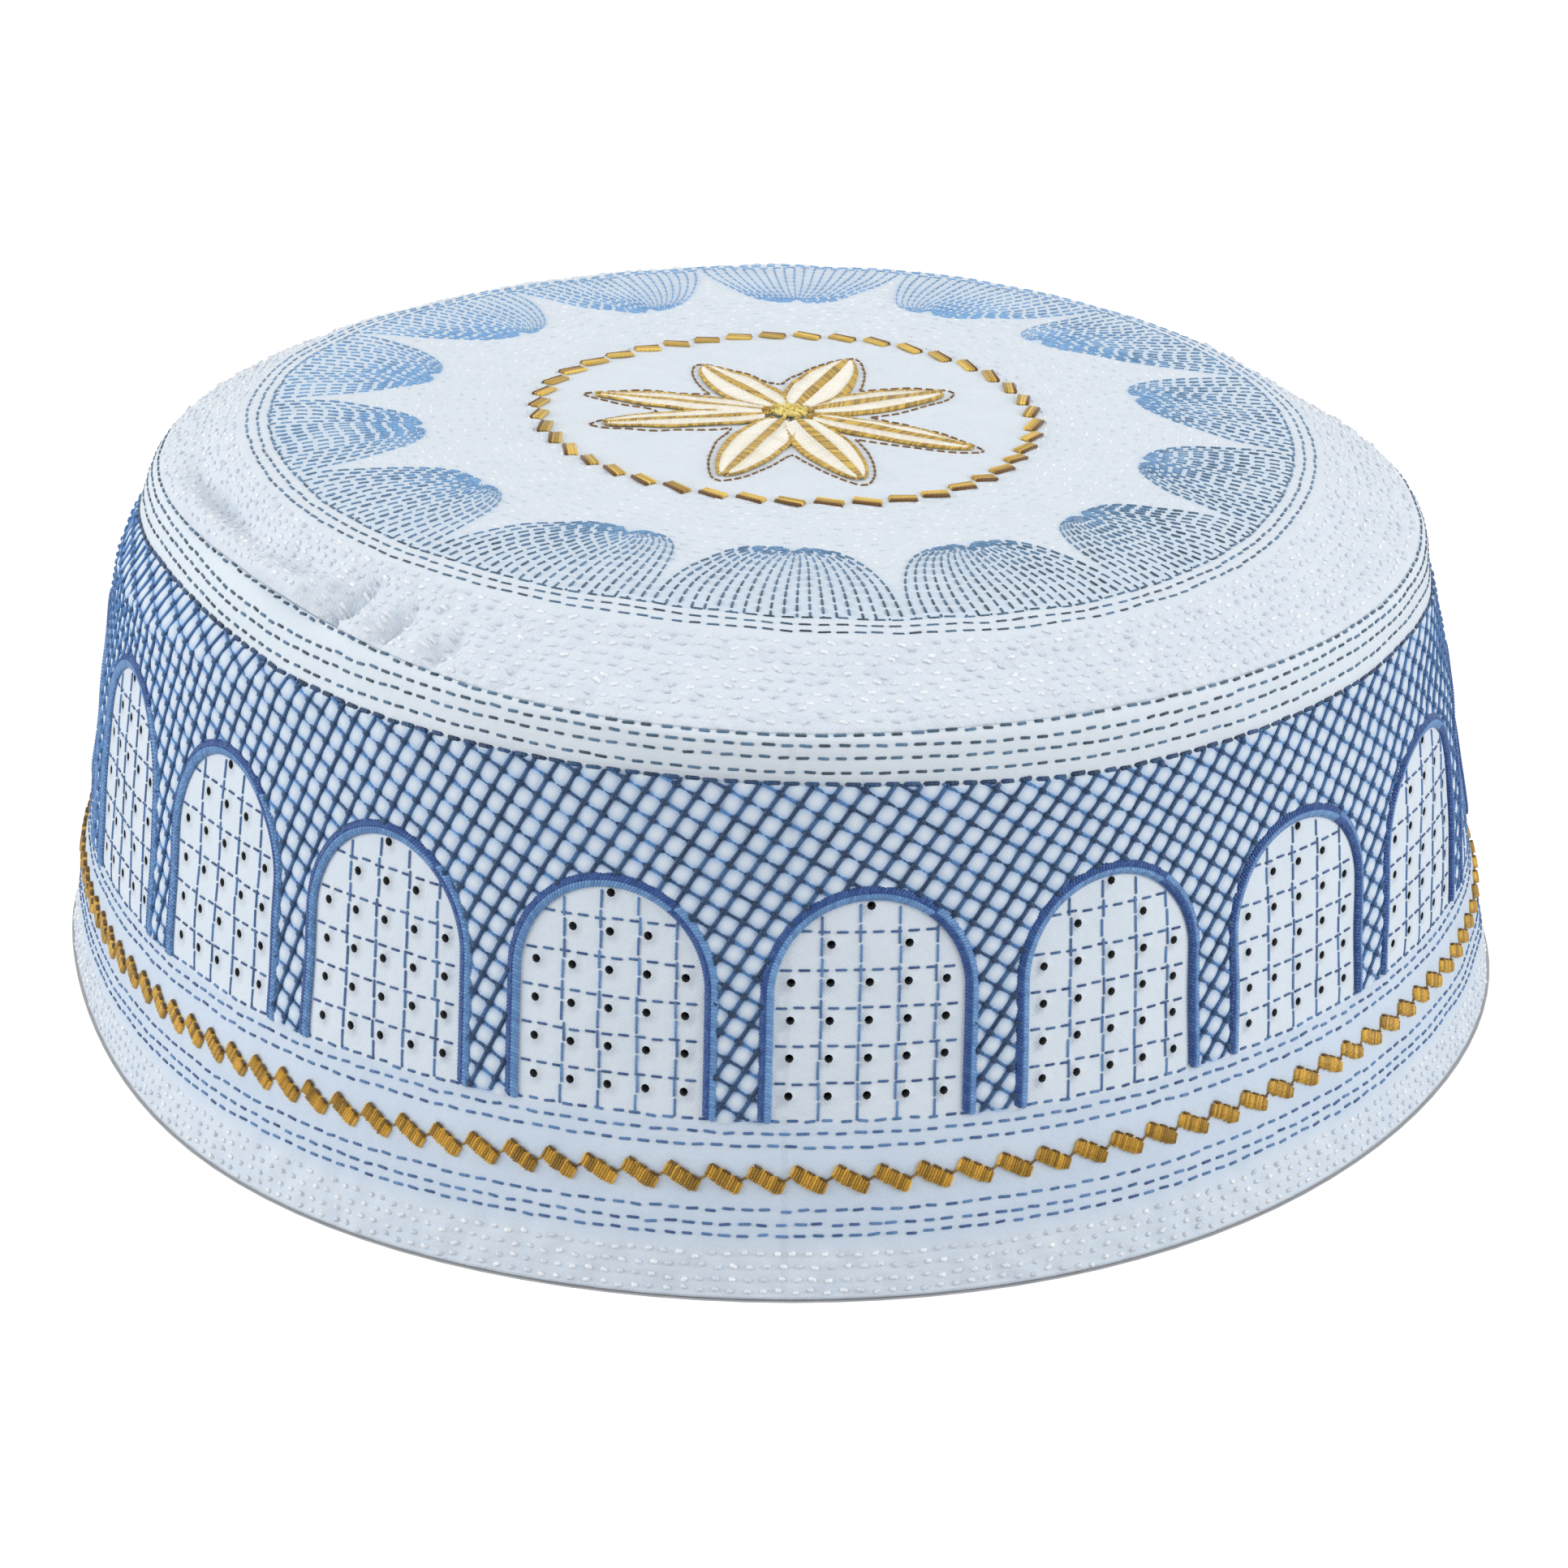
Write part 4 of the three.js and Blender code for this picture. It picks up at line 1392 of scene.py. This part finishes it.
    @classmethod
    def contour(cls, cloth):
        """Dashes along the farthest reach of the petals, each made 1.5 mm wider all round."""
        wider = 1.5
        angle = np.linspace(0, 360, 1441)
        reach = np.arange(3.0, 29.0, 0.1)
        radii = np.full(angle.shape, reach[0])
        for petal in PETALS:
            away = np.radians(wrapped(angle - petal.turn))
            far = reach * np.cos(away)[:, None]
            share = (far + wider) / (petal.length + 2 * wider)
            wide = Petal("wide", petal.turn, petal.length, petal.half + wider)
            inside = (share > 0) & (share < 1)
            inside &= np.abs(reach * np.sin(away)[:, None]) < cls.half_width(wide, share)
            radii = np.maximum(radii, np.where(inside, reach, 0).max(1))
        turn = np.radians(angle - 90)
        flat = np.stack([radii * np.cos(turn), radii * np.sin(turn)], 1)
        far = np.concatenate([[0], np.cumsum(np.hypot(*np.diff(flat, axis=0).T))])
        at = np.arange(0, far[-1] - 1, 1.5)
        start, stop = (np.stack([np.interp(at + step, far, axis) for axis in flat.T], 1)
                       for step in (0, 1.2))
        return cls.part(cloth, start, stop, (0.06, 0.06), 0.16, tones(len(at), 0.0, 0.1))

    @classmethod
    def knot(cls, cloth):
        """Short crossing stitches heaped over the flower's middle."""
        count = 90
        angle, turn = RNG.uniform(0, 2 * np.pi, (2, count))
        radius = 2.0 * np.sqrt(RNG.uniform(0, 1, count))
        middle = np.stack([radius * np.cos(angle), radius * np.sin(angle)], 1)
        half = 0.75 * np.stack([np.cos(turn), np.sin(turn)], 1)
        lift = 0.5 + 0.5 * (1 - radius / 2.0) + RNG.uniform(0, 0.25, count)
        return cls.part(cloth, middle - half, middle + half, (lift, lift), 0.26,
                        tones(count, 0, 1))


class KUFI_OT_stage(bpy.types.Operator):
    """Floor, lights and the camera at the photograph's viewing angle."""
    bl_idname = "kufi.stage"
    bl_label = "Stage"

    def execute(self, context):
        stage = context.scene.kufi_stage
        self.floor(Cloth(context.scene.kufi_form))
        self.world(stage)
        aim = Vector(stage.aim)
        lights = (
            ("key", (0.9, -0.35, 0.42), 0.7, stage.key_power),
            ("fill", (-0.95, -0.3, 0.32), 0.8, stage.fill_power),
            ("top", (-0.1, 0.35, 0.95), 0.8, stage.top_power),
        )
        for name, place, size, power in lights:
            self.light(name, aim + Vector(place), aim, size, power)
        camera = bpy.data.cameras.new("camera")
        camera.lens = stage.focal
        camera.sensor_width = 36
        camera.clip_start = 0.01
        made = bpy.data.objects.new("camera", camera)
        angle = stage.elevation
        back = Vector((0, -np.cos(angle), np.sin(angle)))
        made.location = aim + back * stage.distance
        made.rotation_euler = (-back).to_track_quat("-Z", "Y").to_euler()
        context.scene.collection.objects.link(made)
        context.scene.camera = made
        context.scene.view_settings.view_transform = "Standard"
        context.scene.view_settings.exposure = stage.exposure
        return {"FINISHED"}

    @staticmethod
    def floor(cloth):
        """A wide pale disc just under the hem, which glows more for the camera than as light. The
        part under the cap doesn't glow, so that the hollow stays dark, and it reaches a little
        past the hem, so that a thin ring there shows as a painted contact shadow."""
        count = 120
        turns = np.arange(count) * 360 / count
        # 1.004 takes the unlit part just past the hem: a thin painted contact shadow
        edge = cloth.point(turns, 0.0)[:, :2] * MM * 1.004
        around = np.radians(turns - 90)
        rim = FLOOR_RADIUS * np.stack([np.cos(around), np.sin(around)], 1)
        points = np.concatenate([edge, rim])
        points = np.concatenate([points, np.full((2 * count, 1), FLOOR_DROP)], 1)
        numbers = np.arange(count)
        ring = np.stack([numbers, numbers + count, np.roll(numbers, -1) + count,
                         np.roll(numbers, -1)], 1)
        mesh = bpy.data.meshes.new("floor")
        mesh.from_pydata(points.tolist(), [], [numbers.tolist()] + ring.tolist())
        for name, glow in (("shaded_floor", 0.0), ("pale_floor", 0.6)):
            paint, tree = new_material(name)
            shader = tree.nodes["Principled BSDF"]
            shader.inputs["Base Color"].default_value = (0.45, 0.45, 0.46, 1)
            shader.inputs["Roughness"].default_value = 0.9
            shader.inputs["Emission Color"].default_value = (1, 1, 1, 1)
            tree.links.new(KUFI_OT_stage.by_ray(tree, glow * 0.2, glow),
                           shader.inputs["Emission Strength"])
            mesh.materials.append(paint)
        mesh.polygons.foreach_set("material_index", np.arange(count + 1) > 0)
        made = bpy.data.objects.new("floor", mesh)
        bpy.context.scene.collection.objects.link(made)

    @staticmethod
    def by_ray(tree, other, seen):
        """A strength that is seen for the camera's rays and other for all the rest."""
        path = node(tree, "ShaderNodeLightPath")
        inputs = {0: path.outputs["Is Camera Ray"], 2: other, 3: seen}
        return node(tree, "ShaderNodeMix", inputs).outputs[0]

    @staticmethod
    def world(stage):
        """White all round for the camera, and softer as light."""
        world = bpy.data.worlds.new("studio")
        world.use_nodes = True
        tree = world.node_tree
        background = tree.nodes["Background"]
        background.inputs["Color"].default_value = (1, 1, 1, 1)
        tree.links.new(KUFI_OT_stage.by_ray(tree, stage.world_strength, 1.1),
                       background.inputs["Strength"])
        bpy.context.scene.world = world

    @staticmethod
    def light(name, place, aim, size, power):
        lamp = bpy.data.lights.new(name, "AREA")
        lamp.energy = power
        lamp.size = size
        made = bpy.data.objects.new(name, lamp)
        made.location = place
        made.rotation_euler = (aim - place).to_track_quat("-Z", "Y").to_euler()
        bpy.context.scene.collection.objects.link(made)


class KufiForm(bpy.types.PropertyGroup):
    hem_radius: FloatProperty(name="Hem Radius", description="Outside radius at the hem",
                              default=0.094, unit="LENGTH")
    cap_height: FloatProperty(name="Height", description="From the hem to the crown's middle",
                              default=0.0687, unit="LENGTH")
    wall: FloatProperty(name="Wall", description="Thickness of the quilted cotton",
                        default=0.002, unit="LENGTH")
    seam_gap: FloatProperty(name="Seam Gap", description="Gap between side band and crown",
                            default=0.00005, unit="LENGTH")


class KufiPattern(bpy.types.PropertyGroup):
    arch_count: IntProperty(name="Arches", description="Arches round the side band", default=20)
    grid_turn: FloatProperty(name="Grid Turn", default=5.9,
                             description="Degrees to the first arch's grid")
    arch_turn: FloatProperty(name="Arch Turn", default=5.3,
                             description="Degrees to the first arch's middle")
    arch_half: FloatProperty(name="Arch Half Width", default=7.12,
                             description="Degrees from an arch's middle to its cord")
    thread_width: FloatProperty(name="Thread", description="Width of a running stitch",
                                default=0.00036, unit="LENGTH")
    grid_width: FloatProperty(name="Grid Thread", description="Width of the grids' stitches",
                              default=0.0003, unit="LENGTH")
    lattice_width: FloatProperty(name="Lattice Thread", description="Width of the lattice",
                                 default=0.0005, unit="LENGTH")
    cord_width: FloatProperty(name="Cord", description="Width of an arch's cord",
                              default=0.0019, unit="LENGTH")
    satin_pitch: FloatProperty(name="Satin Pitch", default=0.00036, unit="LENGTH",
                               description="From one satin stitch to the next")
    steep_step: FloatProperty(name="Steep Step", default=0.00225, unit="LENGTH",
                              description="Along a steep thread, from crossing to crossing")
    shallow_step: FloatProperty(name="Shallow Step", default=0.00219, unit="LENGTH",
                                description="Along a shallow thread, from crossing to crossing")
    steep_angle: FloatProperty(name="Steep Angle", default=np.radians(57), subtype="ANGLE",
                               description="Of the steep threads, at the front")
    shallow_angle: FloatProperty(name="Shallow Angle", default=np.radians(29), subtype="ANGLE",
                                 description="Of the shallow threads, at the front")
    chain_count: IntProperty(name="Chain Bars", description="Gold bars round the band",
                             default=126)
    chain_height: FloatProperty(name="Chain Height", description="Height of the chain's middle",
                                default=0.0124, unit="LENGTH")
    chain_tilt: FloatProperty(name="Chain Tilt", description="Degrees that a bar leans",
                              default=28.0)
    fan_turn: FloatProperty(name="Fan Turn", description="Degrees to the first fan's tip",
                            default=-1.3)
    fan_tip: FloatProperty(name="Fan Tip", description="Share of the hem radius at the tips",
                           default=0.487)
    fan_lines: IntProperty(name="Fan Lines", description="Lines in one fan", default=20)
    ring_count: IntProperty(name="Ring Bars", description="Gold bars in the ring", default=43)


class KufiStage(bpy.types.PropertyGroup):
    aim: FloatVectorProperty(name="Aim", description="Point that the camera looks at",
                             default=(0.00146, 0.00068, 0.01825), subtype="TRANSLATION")
    elevation: FloatProperty(name="Elevation", description="Camera above the floor's plane",
                             default=np.radians(24.57), subtype="ANGLE")
    distance: FloatProperty(name="Distance", description="From the camera to its aim",
                            default=0.517, unit="LENGTH")
    focal: FloatProperty(name="Focal Length", description="Millimetres, on a 36 mm sensor",
                         default=91.48)
    world_strength: FloatProperty(name="World", description="Strength of the light all round",
                                  default=0.42)
    key_power: FloatProperty(name="Key", description="Watts of the light by the right",
                             default=4.1)
    fill_power: FloatProperty(name="Fill", description="Watts of the light by the left",
                              default=4.5)
    top_power: FloatProperty(name="Top", description="Watts of the light from above",
                             default=2.1)
    exposure: FloatProperty(name="Exposure", description="Stops of exposure", default=0.35)


OPERATORS = (
    KUFI_OT_stage, KUFI_OT_side_band, KUFI_OT_crown, KUFI_OT_white_quilting,
    KUFI_OT_blue_rows, KUFI_OT_lattice, KUFI_OT_arches, KUFI_OT_chain, KUFI_OT_fans,
    KUFI_OT_medallion,
)
SETTINGS = (("kufi_form", KufiForm), ("kufi_pattern", KufiPattern), ("kufi_stage", KufiStage))


class KUFI_PT_panel(bpy.types.Panel):
    """Lists the cap's operators in the order that they run."""
    bl_label = "Kufi"
    bl_idname = "KUFI_PT_panel"
    bl_space_type = "VIEW_3D"
    bl_region_type = "UI"
    bl_category = "Kufi"

    def draw(self, context):
        for operator in OPERATORS:
            self.layout.operator(operator.bl_idname)


CLASSES = (KufiForm, KufiPattern, KufiStage, *OPERATORS, KUFI_PT_panel)


def register():
    for cls in CLASSES:
        bpy.utils.register_class(cls)
    for name, group in SETTINGS:
        setattr(bpy.types.Scene, name, PointerProperty(type=group))


def unregister():
    for name, _ in SETTINGS:
        delattr(bpy.types.Scene, name)
    for cls in reversed(CLASSES):
        bpy.utils.unregister_class(cls)


def main():
    register()
    for operator in OPERATORS:
        group, name = operator.bl_idname.split(".")
        getattr(getattr(bpy.ops, group), name)()


if __name__ == "__main__":
    main()
